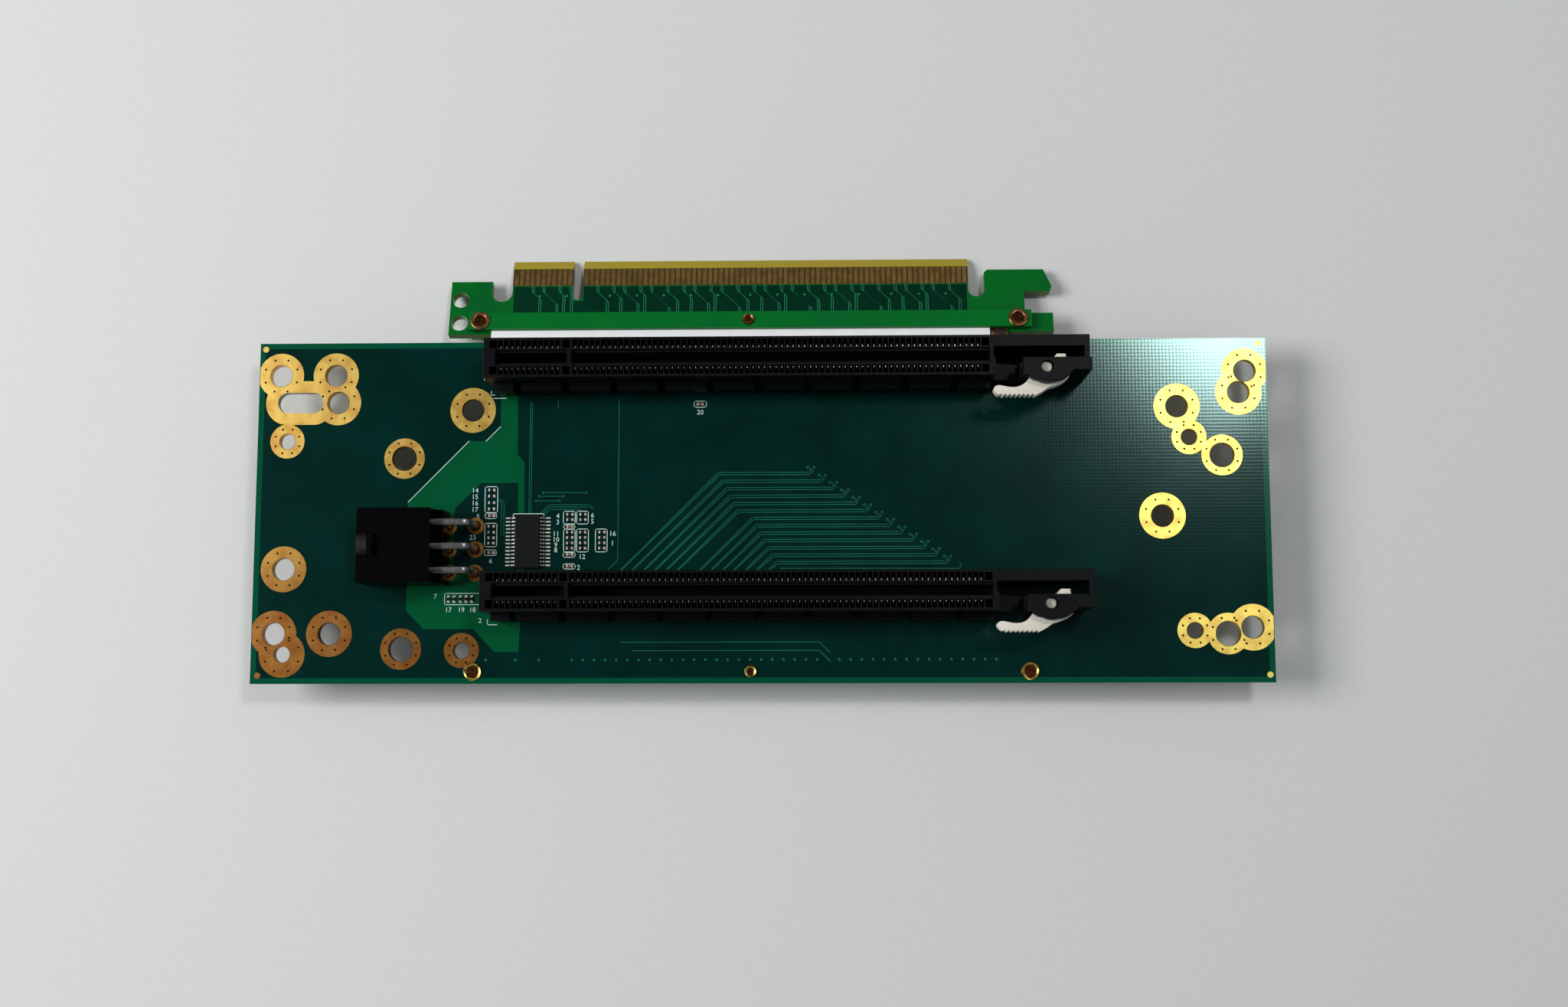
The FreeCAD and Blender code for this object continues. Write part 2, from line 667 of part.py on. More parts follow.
def makeChipLeads():
    """Gull-wing leads as slopes from the board's face up to the package's side."""
    thick = size("lead_thickness")
    reach = size("lead_span") / 2
    side = size("chip_width") / 2
    shoulder = size("chip_standoff") + size("chip_height") / 2
    outline = [(reach, 0), (reach, thick), (side, shoulder), (side, shoulder - 2 * thick)]
    count = int(size("leads_a_side"))
    first = size("chip_centre_y") - (count - 1) * size("lead_pitch") / 2
    shapes = []
    for direction in (-1, 1):
        for i in range(count):
            y = first + i * size("lead_pitch") - size("lead_width") / 2
            points = [FreeCAD.Vector(size("chip_centre_x") + direction * a, y, boardTop + b)
                      for a, b in outline]
            shapes.append(prism(points, Y, size("lead_width")))
    return shapeNode("chip_leads", Part.makeCompound(shapes))


# Small parts as columns: x, then each y, from the first slot contact
resistorColumns = [
    (-3.15, [-21.85, -22.95, -24.15, -25.25, -28.4, -29.45, -30.45, -31.4]),
    (10.92, [-26.3, -27.25, -29.5, -30.45, -31.4, -32.35]),
    (13.25, [-26.3, -27.25, -29.5, -30.45, -31.4, -32.35]),
    (16.68, [-29.5, -30.45, -31.4, -32.35]),
]
capacitorColumns = [
    (-3.1, [-26.45, -33.1]),
    (10.95, [-28.5, -33.45, -35.55]),
    (34.1, [-6.5]),
]
uprightResistors = [-10.55, -9.55, -8.4, -7.4, -6.4]
uprightRow = -41.35


def makeSmallParts(label, columns, uprights):
    long = size("small_part_length")
    wide = size("small_part_width")
    high = size("small_part_height")
    shapes = []
    for x, places in columns:
        for y in places:
            middle = mountingOrigin + FreeCAD.Vector(x, y, 0)
            shapes.append(block(middle.x - long / 2, middle.y - wide / 2, boardTop, long, wide, high))
    for x in uprights:
        middle = mountingOrigin + FreeCAD.Vector(x, uprightRow, 0)
        shapes.append(block(middle.x - wide / 2, middle.y - long / 2, boardTop, wide, long, high))
    return shapeNode(label, Part.makeCompound(shapes))


# Plug card: built flat with its tip edge on y = 0 and its top face on z = 0, then tilted about the tip
# until the lower corner of its bevel rests on the table
def cardPlacement():
    tilt = FreeCAD.Rotation(X, -size("card_tilt"))
    angle = math.radians(size("card_tilt"))
    lift = size("card_thickness") * math.cos(angle) - size("bevel_length") * math.sin(angle)
    return FreeCAD.Placement(FreeCAD.Vector(size("card_left"), size("card_tip"), lift), tilt)


def makeEdgeCard():
    body = newBody("edge_card")
    outline = newSketch(body, "CardOutline")
    cardOutline(outline)
    addPad(body, "CardSheet", outline, "Sizes.card_thickness", down=True)
    holes = newSketch(body, "CardHoles")
    for name in ("front", "back"):
        centre = FreeCAD.Vector(size("card_hole_place"), -size("card_hole_" + name), 0)
        sketchCircle(holes, "Hole_" + name, centre, "Sizes.card_hole")
    addPocket(body, "CardHolesThrough", holes, "Sizes.card_thickness")
    bevel = newSketch(body, "CardBevel", role="YZ_Plane", lift="-Sizes.left_notch")
    length = size("bevel_length")
    cut = size("tongue_bevel")
    thick = size("card_thickness")
    for top, direction in ((0, -1), (-thick, 1)):
        corners = [(cut, top + direction * cut), (0, top + direction * cut), (-length, top), (cut, top)]
        addOutline(bevel, corners)
    across = "Sizes.left_notch + Sizes.tongue_width + Sizes.right_notch"
    body.Tip = addPocket(body, "CardBevelCut", bevel, across, up=True)
    body.Placement = cardPlacement()
    return body


def cardEyelets():
    back = size("strip_start") + size("strip_width") / 2
    left = size("card_eyelet_left")
    return [FreeCAD.Vector(left + i * eyeletSpacing / 2, -back, 0) for i in range(3)]


def cardOutline(sketch):
    """Card seen from its top: tongue with key notch, a round-bottomed notch each side, stepped right end."""
    end = -size("card_length")
    tongue = size("tongue_width")
    keyLeft = size("card_key_centre") - size("card_key_width") / 2
    keyRight = keyLeft + size("card_key_width")
    leftNotch = -size("left_notch")
    rightNotch = tongue + size("right_notch")
    leftEdge = leftNotch - size("left_shoulder")
    reach = tongue + size("right_reach")
    waist = tongue + size("right_waist")
    shoulder = -size("right_shoulder_start")
    hook = -size("right_shoulder_end")
    chamfer = size("shoulder_chamfer")
    points = [
        (0, 0), (keyLeft, 0),
        ("arc", keyLeft, keyRight, -size("card_key_depth")),
        (keyRight, 0), (tongue, 0),
        ("arc", tongue, rightNotch, -size("right_notch_depth")),
        (rightNotch, shoulder - chamfer), (rightNotch + chamfer, shoulder),
        (reach - size("hook_slant"), shoulder), (reach, hook + size("hook_drop")),
        (reach - size("hook_nose"), hook), (waist, hook),
        (waist, -size("right_tab_start")), (reach, -size("right_tab_start")), (reach, end),
        (leftEdge, end), (leftEdge, -size("left_shoulder_start")), (leftNotch, -size("left_shoulder_start")),
        ("arc", leftNotch, 0, -size("left_notch_depth")),
        (0, 0),
    ]
    cursor = None
    for item in points:
        if item[0] == "arc":
            left, right, bottom = item[1:]
            r = (right - left) / 2
            level = bottom + r
            start = FreeCAD.Vector(left, level, 0)
            sketch.addGeometry(Part.LineSegment(cursor, start), False)
            circle = Part.Circle(FreeCAD.Vector((left + right) / 2, level, 0), Z, r)
            sketch.addGeometry(Part.ArcOfCircle(circle, math.pi, 2 * math.pi), False)
            cursor = FreeCAD.Vector(right, level, 0)
        else:
            target = FreeCAD.Vector(item[0], item[1], 0)
            if cursor is not None:
                sketch.addGeometry(Part.LineSegment(cursor, target), False)
            cursor = target


def makeEdgeFingers(label):
    """Gold fingers of the tongue's upper face, at the slot contacts' pitch. The first is shorter."""
    thick = size("finger_thickness")
    shapes = []
    for number, place in enumerate(contactRow):
        start = size("finger_start") + (size("first_finger_short") if number == 0 else 0.0)
        end = size("finger_start") + size("finger_length")
        x = size("finger_margin") + place - size("finger_width") / 2
        shapes.append(block(x, -end, 0, size("finger_width"), end - start, thick))
    return shapeNode(label, Part.makeCompound(shapes), cardPlacement())


# Clamp strips, eyelets and the two ribbon layers
def makeStrip(label, width, placement):
    """Stiff strip of bare laminate that clamps the ribbon's end."""
    strip = doc.addObject("Part::Box", label)
    strip.setExpression("Length", "%f + Sizes.strip_end + Sizes.strip_end_right" % eyeletSpacing)
    strip.setExpression("Width", width)
    strip.setExpression("Height", "Sizes.strip_thickness")
    strip.Placement = placement
    return keep(strip, label)


def manySided(radius, low, high, centre):
    """Upright prism of many flats. A crimped eyelet is never quite round."""
    sides = int(size("eyelet_sides"))
    corners = []
    for i in range(sides):
        angle = 2 * math.pi * i / sides
        corners.append(centre + FreeCAD.Vector(radius * math.cos(angle), radius * math.sin(angle), low))
    return prism(corners, Z, high - low)


def makeEyelet(label, centre, low, high, small, flange, placement=None):
    """Hollow rivet from level low to level high, with its rolled flange on top."""
    bore = size("middle_eyelet_bore") / 2 if small else size("eyelet_bore") / 2
    top = high + size("eyelet_rim")
    barrel = manySided(bore + size("eyelet_wall"), low, top, centre)
    rolled = manySided(flange / 2, high, top, centre)
    solid = barrel.fuse(rolled).cut(manySided(bore, low, top, centre)).removeSplitter()
    return shapeNode(label, solid, placement)


def bandFace(points, radius, low, high):
    """Section of a bent flat strip between two levels over a line of straight runs and arcs."""
    edges = []
    ends = []
    for level in (low, high):
        cursor = None
        for before, corner, after in zip(points, points[1:], points[2:]):
            come = (corner - before).normalize()
            go = (after - corner).normalize()
            turn = come.getAngle(go)
            reach = radius * math.tan(turn / 2)
            bisector = (go - come).normalize()
            apex = corner + bisector * (radius / math.cos(turn / 2) - radius)
            start = corner - come * reach + come.cross(X) * level
            end = corner + go * reach + go.cross(X) * level
            middle = apex + (come + go).normalize().cross(X) * level
            if cursor is None:
                cursor = before + come.cross(X) * level
                ends.append(cursor)
            edges.append(Part.LineSegment(cursor, start).toShape())
            edges.append(Part.Arc(start, middle, end).toShape())
            cursor = end
        last = points[-1] + go.cross(X) * level
        edges.append(Part.LineSegment(cursor, last).toShape())
        ends.append(last)
    edges.append(Part.LineSegment(ends[0], ends[2]).toShape())
    edges.append(Part.LineSegment(ends[1], ends[3]).toShape())
    return Part.Face(Part.Wire(Part.__sortEdges__(edges)))


def ribbonRoute(upper):
    """Line that both layers share: from the card's face, down, along, and up to the board's front."""
    thick = size("ribbon_thickness")
    place = cardPlacement()
    inCard = 0.0 if upper else -size("card_thickness")
    cardEnd = size("card_length") + size("ribbon_leave")
    first = place.multVec(FreeCAD.Vector(0, -size("strip_start") - size("ribbon_inset"), inCard))
    second = place.multVec(FreeCAD.Vector(0, -cardEnd, inCard))
    front = size("board_front")
    fold = front + size("ribbon_fold")
    roof = size("board_underside") - thick
    route = [
        first,
        second,
        FreeCAD.Vector(0, second.y - size("ribbon_drop"), thick),
        FreeCAD.Vector(0, fold + size("ribbon_rise"), thick),
        FreeCAD.Vector(0, fold, roof),
        FreeCAD.Vector(0, front + size("ribbon_inset"), roof),
    ]
    return [FreeCAD.Vector(0, point.y, point.z) for point in route]


def makeRibbon(label, upper, left, width, low, high):
    face = bandFace(ribbonRoute(upper), size("ribbon_bend"), low, high)
    face.translate(X * (size("card_left") + left))
    return shapeNode(label, face.extrude(X * width))


makeMainBoard()
slotRows = ["Sizes.rear_slot_place", "(Sizes.rear_slot_place - Sizes.slot_spacing)"]
for number, slotY in enumerate(slotRows, start=1):
    makeSlotHousing("slot_%d_housing" % number, slotY)
    makeContacts("slot_%d_contacts_back" % number, 1, slotY)
    makeContacts("slot_%d_contacts_front" % number, -1, slotY)
    makeLatchLever("slot_%d_latch_lever" % number, slotY)
makePowerHeader()
upperLevel = size("lower_pin_height") + size("pin_pitch")
makePowerPins("power_pins_upper", upperLevel, size("upper_pin_run"))
makePowerPins("power_pins_lower", size("lower_pin_height"), size("lower_pin_run"))
makeChip()
makeChipLeads()
makeSmallParts("chip_resistors", resistorColumns, uprightResistors)
makeSmallParts("chip_capacitors", capacitorColumns, [])
makeEdgeCard()
makeEdgeFingers("edge_fingers_top")

# Strips: over the ribbon on both faces of the card, and under the main board's front edge
ribbonThickness = size("ribbon_thickness")
cardPlace = cardPlacement()
frontLevel = ribbonThickness
backLevel = -size("card_thickness") - ribbonThickness - size("strip_thickness")
boardLevel = size("board_underside") - 2 * ribbonThickness - size("strip_thickness")
cardStripLeft = size("card_eyelet_left") - size("strip_end")
cardStripCorner = FreeCAD.Vector(cardStripLeft, -size("strip_start") - size("strip_width"), 0)
makeStrip("card_strip_front", "Sizes.strip_width",
          cardPlace.multiply(FreeCAD.Placement(cardStripCorner + Z * frontLevel, FreeCAD.Rotation())))
makeStrip("card_strip_back", "Sizes.strip_width",
          cardPlace.multiply(FreeCAD.Placement(cardStripCorner + Z * backLevel, FreeCAD.Rotation())))
boardStripLeft = size("board_eyelet_left") - size("strip_end")
boardStripCorner = FreeCAD.Vector(boardStripLeft, size("board_front"), boardLevel)
makeStrip("board_strip", "Sizes.board_strip_width",
          FreeCAD.Placement(boardStripCorner, FreeCAD.Rotation()))
for side, card, board in zip(("left", "middle", "right"), cardEyelets(), boardEyelets()):
    small = side == "middle"
    cardFlange = size("middle_eyelet_flange") if small else size("card_eyelet_flange")
    boardFlange = size("middle_eyelet_flange") if small else size("board_eyelet_flange")
    tail = size("eyelet_tail")
    makeEyelet("card_eyelet_" + side, card, backLevel - tail, frontLevel + size("strip_thickness"),
               small, cardFlange, cardPlace)
    makeEyelet("board_eyelet_" + side, board, boardLevel - tail, boardTop, small, boardFlange)
filmStart = size("ribbon_left") + size("ribbon_width")
filmLevel = (ribbonThickness - size("film_thickness")) / 2
makeRibbon("ribbon_upper", True, size("ribbon_left"), size("ribbon_width"), 0.0, ribbonThickness)
makeRibbon("ribbon_lower", False, size("ribbon_left"), size("ribbon_width"), -ribbonThickness, 0.0)
makeRibbon("ribbon_film", True, filmStart, size("film_width"), filmLevel, filmLevel + size("film_thickness"))
doc.recompute()

faulty = []
for item in doc.Objects:
    if "Invalid" in item.State or "Error" in item.State:
        faulty.append(item.Label)
for item in nodes:
    if item.Shape.isNull() or not item.Shape.isValid():
        faulty.append(item.Label + " shape")
if faulty:
    raise RuntimeError("faulty: " + ", ".join(faulty))

os.makedirs("parts", exist_ok=True)
for item in nodes:
    item.Shape.exportStep(os.path.join("parts", item.Label + ".step"))
print(len(nodes), "nodes")
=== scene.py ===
import math
import bmesh
import bpy
from mathutils import Euler, Matrix, Vector


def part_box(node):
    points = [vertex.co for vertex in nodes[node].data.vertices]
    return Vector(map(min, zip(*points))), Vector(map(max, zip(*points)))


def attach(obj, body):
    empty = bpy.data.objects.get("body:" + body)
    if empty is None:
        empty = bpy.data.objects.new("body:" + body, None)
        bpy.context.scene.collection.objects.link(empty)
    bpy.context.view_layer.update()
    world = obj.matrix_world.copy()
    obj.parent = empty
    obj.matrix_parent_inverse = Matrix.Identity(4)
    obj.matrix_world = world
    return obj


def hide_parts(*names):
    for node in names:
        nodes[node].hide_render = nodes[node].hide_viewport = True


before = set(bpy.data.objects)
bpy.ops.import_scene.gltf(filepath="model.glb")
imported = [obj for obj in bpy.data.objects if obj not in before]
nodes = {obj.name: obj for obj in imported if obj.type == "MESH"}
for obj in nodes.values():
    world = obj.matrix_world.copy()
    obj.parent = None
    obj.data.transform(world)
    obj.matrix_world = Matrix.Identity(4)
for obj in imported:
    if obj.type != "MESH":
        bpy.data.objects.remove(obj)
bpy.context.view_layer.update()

mm = 0.001
print("frame loaded")

# Places that many pieces share, in metres
boardLow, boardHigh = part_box("main_board")
boardTop = boardHigh[2]
boardBottom = boardLow[2]
firstContactX = -44.75 * mm
slotRows = {"slot_1": 17.0 * mm, "slot_2": -23.64 * mm}
contactSteps = list(range(11)) + list(range(13, 84))     # 1 mm pitch, with the key between the 11th and 12th
slotTop = boardTop + 11.25 * mm
cardTilt = math.radians(14.0)
cardCorner = Vector((-46.1, 39.3, 1.238)) * mm
cardMatrix = Matrix.Translation(cardCorner) @ Matrix.Rotation(-cardTilt, 4, "X")


def inMetres(values):
    return [value * mm for value in values]


def bothFaces(thick):
    # Bottom and top of a thin layer on the board's upper face, and of one on its lower face
    return (boardTop, boardTop + thick), (boardBottom - thick, boardBottom)


def linear(hexColour):
    channels = [int(hexColour[i:i + 2], 16) / 255 for i in (0, 2, 4)]
    return (*[c / 12.92 if c <= 0.04045 else ((c + 0.055) / 1.055) ** 2.4 for c in channels], 1.0)


def addNode(tree, kind, inputs=None, **settings):
    # An input that is a node or a socket is linked, a string is a colour, and anything else is the value itself
    node = tree.nodes.new("ShaderNode" + kind)
    for name, value in settings.items():
        setattr(node, name, value)
    for socket, value in (inputs or {}).items():
        if isinstance(value, bpy.types.Node):
            value = next(output for output in value.outputs if output.enabled)
        if isinstance(value, bpy.types.NodeSocket):
            tree.links.new(value, node.inputs[socket])
        else:
            node.inputs[socket].default_value = linear(value) if isinstance(value, str) else value
    return node


def newMaterial(name):
    material = bpy.data.materials.new(name)
    material.use_nodes = True
    tree = material.node_tree
    tree.nodes.clear()
    return material, tree, addNode(tree, "TexCoord").outputs["Object"]


def addShader(tree, sockets):
    shader = addNode(tree, "BsdfPrincipled", sockets)
    addNode(tree, "OutputMaterial", {"Surface": shader})


def addCutEdge(tree, colour, tilt, limit, core):
    # Faces that don't look along the sheet's upright show its bare glass and resin core
    facing = addNode(tree, "NewGeometry").outputs["Normal"]
    upright = (0.0, math.sin(tilt), math.cos(tilt))
    upward = addNode(tree, "VectorMath", {0: facing, 1: upright}, operation="DOT_PRODUCT")
    flat = addNode(tree, "Math", {0: upward}, operation="ABSOLUTE")
    cut = addNode(tree, "Math", {0: flat, 1: limit}, operation="LESS_THAN")
    return addNode(tree, "Mix", {0: cut, 6: colour, 7: core}, data_type="RGBA")


def addClouds(tree, place, look, cloudMm):
    cloud = addNode(tree, "TexNoise", {"Vector": place, "Scale": 1 / (cloudMm * mm), "Detail": 3.0})
    cloudy = addNode(tree, "MapRange", {0: cloud, 1: 0.35, 2: 0.7})
    return addNode(tree, "Mix", {0: cloudy, 6: look["colour"], 7: look["shade"]}, data_type="RGBA")


def addGrain(tree, place, look, fineness):
    # Fine grain, and a roughness that follows it by 15% either way
    grain = addNode(tree, "TexNoise", {"Vector": place, "Scale": 1 / (look["grainMm"] * mm), "Detail": 3.0,
                                       "Roughness": fineness})
    rough = addNode(tree, "MapRange", {0: grain, 1: 0.3, 2: 0.7, 3: look["roughness"] * 0.85,
                                       4: look["roughness"] * 1.15})
    return grain, rough


def maskMaterial(name, look):
    # Solder mask screened and baked over glass laminate: a glossy green skin with slow clouds in its colour.
    # The cloth's yarns, about 0.6 mm apart, show in the gloss
    material, tree, place = newMaterial(name)
    colour = addClouds(tree, place, look, 9)
    if "edge" in look:
        # A band round the rim has no copper under it
        parts = addNode(tree, "SeparateXYZ", {0: place})
        middle = (boardHigh[1] + boardLow[1]) / 2
        fromMiddle = addNode(tree, "Math", {0: parts.outputs[1], 1: middle}, operation="SUBTRACT")
        bands = []
        for offset, half in ((parts, boardHigh[0]), (fromMiddle, boardHigh[1] - middle)):
            away = addNode(tree, "Math", {0: offset}, operation="ABSOLUTE")
            bands.append(addNode(tree, "Math", {0: away, 1: half - look["band"]}, operation="GREATER_THAN"))
        rim = addNode(tree, "Math", {0: bands[0], 1: bands[1]}, operation="MAXIMUM")
        colour = addNode(tree, "Mix", {0: rim, 6: colour, 7: look["rim"]}, data_type="RGBA")
        colour = addCutEdge(tree, colour, 0.0, 0.5, look["edge"])
    yarn = {"Vector": place, "Scale": math.pi / 10 / (0.62 * mm), "Distortion": 0.6, "Detail": 1.0,
            "Detail Scale": 0.6}
    warp, weft = [addNode(tree, "TexWave", yarn, bands_direction=way).outputs[1] for way in "XY"]
    cloth = addNode(tree, "Math", {0: warp, 1: weft}, operation="ADD")
    bump = addNode(tree, "Bump", {"Height": cloth, "Distance": look["clothMm"] * mm, "Strength": 1.0})
    addShader(tree, {"Base Color": colour, "Roughness": look["roughness"], "IOR": 1.52, "Normal": bump,
                     "Specular Tint": "d4fff8", "Specular IOR Level": look.get("shine", 0.5)})
    return material


def metalMaterial(name, look):
    # Plated and soldered metals: two tones in patches, and a fine grain in the roughness
    material, tree, place = newMaterial(name)
    patch = addNode(tree, "TexNoise", {"Vector": place, "Scale": 1 / (look["patchMm"] * mm), "Detail": 4.0})
    dull = addNode(tree, "MapRange", {0: patch, 1: 0.4, 2: 0.65})
    colour = addNode(tree, "Mix", {0: dull, 6: look["colour"], 7: look["dull"]}, data_type="RGBA")
    if "left" in look:
        # Warmer and a little darker towards the left, and a painted shade darkens the lower left further
        parts = addNode(tree, "SeparateXYZ", {0: place})
        toLeft = addNode(tree, "MapRange", {0: parts, 1: 60 * mm, 2: -40 * mm})
        toFront = addNode(tree, "MapRange", {0: parts.outputs[1], 1: 8 * mm, 2: -26 * mm})
        corner = addNode(tree, "Math", {0: toLeft, 1: toFront}, operation="MULTIPLY")
        for share, tone in ((toLeft, look["left"]), (corner, look["lowerLeftShade"])):
            colour = addNode(tree, "Mix", {0: share, 6: colour, 7: tone}, data_type="RGBA", blend_type="MULTIPLY")
    grain, rough = addGrain(tree, place, look, 0.6)
    bump = addNode(tree, "Bump", {"Height": grain, "Distance": 0.004 * mm, "Strength": 0.6})
    addShader(tree, {"Base Color": colour, "Roughness": rough, "Normal": bump, "Metallic": 1.0})
    return material


def mouldedMaterial(name, look):
    # Moulded and fired bodies: fine grain from the die, with flecks of the filler at the skin
    material, tree, place = newMaterial(name)
    grain, rough = addGrain(tree, place, look, 0.65)
    fine = addNode(tree, "TexNoise", {"Vector": place, "Scale": 3 / (look["grainMm"] * mm)})
    fleck = addNode(tree, "MapRange", {0: fine, 1: 0.58, 2: 0.74, 4: look["flecks"]})
    colour = addNode(tree, "Mix", {0: fleck, 6: look["colour"], 7: look["fleck"]}, data_type="RGBA")
    relief = addNode(tree, "Math", {0: grain, 1: fine}, operation="ADD")
    bump = addNode(tree, "Bump", {"Height": relief, "Distance": look["reliefMm"] * mm, "Strength": 0.7})
    addShader(tree, {"Base Color": colour, "Roughness": rough, "Normal": bump, "IOR": 1.5,
                     **look.get("sockets", {})})
    return material


def sheetMaterial(name, look):
    # Thin rolled and cast sheets: one noise gives the tone and the relief, drawn out where the sheet was
    material, tree, place = newMaterial(name)
    drawn = addNode(tree, "Mapping", {"Vector": place, "Scale": (1.0, look["stretch"], 1.0)})
    crease = addNode(tree, "TexNoise", {"Vector": drawn, "Scale": 1 / (look["creaseMm"] * mm), "Detail": 4.0})
    low, high = look["share"]
    share = addNode(tree, "MapRange", {0: crease, 1: low, 2: high})
    colour = addNode(tree, "Mix", {0: share, 6: look["colour"], 7: look["crease"]}, data_type="RGBA")
    bump = addNode(tree, "Bump", {"Height": crease, "Distance": look["reliefMm"] * mm, "Strength": 0.5})
    addShader(tree, {"Base Color": colour, "Normal": bump, **look["sockets"]})
    return material


boardMask = maskMaterial("solder_mask_over_copper_planes", {
    "colour": "00211b", "shade": "002924", "rim": "004c33", "edge": "6f7550", "band": 1.0 * mm,
    "roughness": 0.13, "clothMm": 0.0014})
windowMask = maskMaterial("solder_mask_over_bare_laminate", {
    "colour": "004f2b", "shade": "005532", "roughness": 0.15, "clothMm": 0.0014})
traceMask = maskMaterial("solder_mask_over_a_trace", {
    "colour": "175f4c", "shade": "1f6d58", "roughness": 0.2, "clothMm": 0.001})
stripMask = maskMaterial("solder_mask_on_a_clamp_strip", {
    "colour": "006c20", "shade": "006426", "roughness": 0.2, "shine": 0.2, "clothMm": 0.001})
cardPlaneMask = maskMaterial("solder_mask_over_card_planes", {
    "colour": "002718", "shade": "002f1d", "roughness": 0.2, "shine": 0.12, "clothMm": 0.001})
cardTraceMask = maskMaterial("solder_mask_over_a_card_trace", {
    "colour": "1f7a4a", "shade": "288656", "roughness": 0.22, "shine": 0.2, "clothMm": 0.001})

# Thin gold flashed on nickel over etched copper: warm, a little mottled, soft in its gloss, with a painted shade at
# its lower left
landGold = metalMaterial("flash_gold_on_etched_copper", {
    "colour": "f4dc70", "dull": "dcb65a", "left": "eedfe4", "lowerLeftShade": "a88a8a", "roughness": 0.38,
    "grainMm": 0.2, "patchMm": 2.4})
fingerGold = metalMaterial("hard_gold_on_a_finger", {
    "colour": "93723f", "dull": "7c5c32", "roughness": 0.45, "grainMm": 0.2, "patchMm": 1.4})
# Vias drawn as flat discs over the lands: their near-black brown is painted shade standing for each open bore
viaShade = metalMaterial("painted_shade_of_via_bores", {
    "colour": "2a1a0a", "dull": "140c05", "roughness": 0.6, "grainMm": 0.1, "patchMm": 0.5})
# Stamped spring bronze under a dull grey plating
springMetal = metalMaterial("plated_spring_bronze", {
    "colour": "9a958a", "dull": "7c7464", "roughness": 0.36, "grainMm": 0.12, "patchMm": 0.6})
tinMetal = metalMaterial("bright_tin_plate", {
    "colour": "8e8c88", "dull": "7c7a75", "roughness": 0.34, "grainMm": 0.6, "patchMm": 1.6})
solderMetal = metalMaterial("reflowed_solder", {
    "colour": "ece6de", "dull": "cac1b6", "roughness": 0.42, "grainMm": 0.3, "patchMm": 0.6})
stainedSolder = metalMaterial("solder_under_flux", {
    "colour": "8f7038", "dull": "4e3717", "roughness": 0.3, "grainMm": 0.4, "patchMm": 0.6})
# Pads round the header's pins: flash gold darkened to brown, a painted shade
shadedPadGold = metalMaterial("flash_gold_with_painted_shade", {
    "colour": "b07f40", "dull": "8c5c28", "roughness": 0.45, "grainMm": 0.2, "patchMm": 1.0})
bronzeMetal = metalMaterial("rolled_bronze", {
    "colour": "8f6a42", "dull": "5c3d22", "roughness": 0.36, "grainMm": 0.3, "patchMm": 0.8})
giltMetal = metalMaterial("crimped_gilt_brass", {
    "colour": "e6c46a", "dull": "94702c", "roughness": 0.26, "grainMm": 0.3, "patchMm": 0.6})
# Dark discs that close each eyelet's bore: painted shadow in place of the open hole
boreShadow = metalMaterial("painted_shadow_in_the_bore", {
    "colour": "4a2814", "dull": "2a1409", "roughness": 0.5, "grainMm": 0.3, "patchMm": 0.5})

# Glass-filled nylon, injection moulded: charcoal and matt, with pale glass flecks at the skin
slotNylon = mouldedMaterial("glass_filled_nylon_moulded", {
    "colour": "08090a", "fleck": "2a2e31", "flecks": 0.8, "roughness": 0.4, "grainMm": 0.4, "reliefMm": 0.02,
    "sockets": {"Specular IOR Level": 0.08}})
headerNylon = mouldedMaterial("black_nylon_moulded", {
    "colour": "040405", "fleck": "141416", "flecks": 0.5, "roughness": 0.3, "grainMm": 0.5, "reliefMm": 0.01,
    "sockets": {"Specular IOR Level": 0.04}})
# Unfilled nylon lets light a little way in, which softens its edges
leverNylon = mouldedMaterial("natural_nylon_moulded", {
    "colour": "dfdaca", "fleck": "ece9df", "flecks": 0.5, "roughness": 0.5, "grainMm": 0.5, "reliefMm": 0.01,
    "sockets": {"Subsurface Weight": 0.2, "Subsurface Radius": (0.9 * mm, 0.7 * mm, 0.5 * mm)}})
chipEpoxy = mouldedMaterial("moulded_epoxy_spark_finish", {
    "colour": "101112", "fleck": "222324", "flecks": 0.6, "roughness": 0.5, "grainMm": 0.2, "reliefMm": 0.01,
    "sockets": {"Specular IOR Level": 0.1}})
resistorGlaze = mouldedMaterial("glazed_thick_film", {
    "colour": "0d0d10", "fleck": "24242a", "flecks": 0.3, "roughness": 0.3, "grainMm": 0.3, "reliefMm": 0.003})
capacitorClay = mouldedMaterial("fired_barium_titanate", {
    "colour": "6d533c", "fleck": "8a6a4c", "flecks": 0.4, "roughness": 0.4, "grainMm": 0.3, "reliefMm": 0.003})
legendInk = mouldedMaterial("screened_epoxy_ink", {
    "colour": "c8ded7", "fleck": "a5c0b7", "flecks": 0.6, "roughness": 0.6, "grainMm": 0.3, "reliefMm": 0.004})

# Plug card's skin: the tongue's root and its ends, and its bevel, in the card's own frame
cardSkin = {
    "colour": "00651c", "shade": "00581f", "core": "5f7a34", "tongue": "3d3617", "bevel": "a28f2e",
    "roughness": 0.2, "shine": 0.2, "tongueMm": (-5.3, -0.1, 84.4), "bevelMm": -1.75,
}


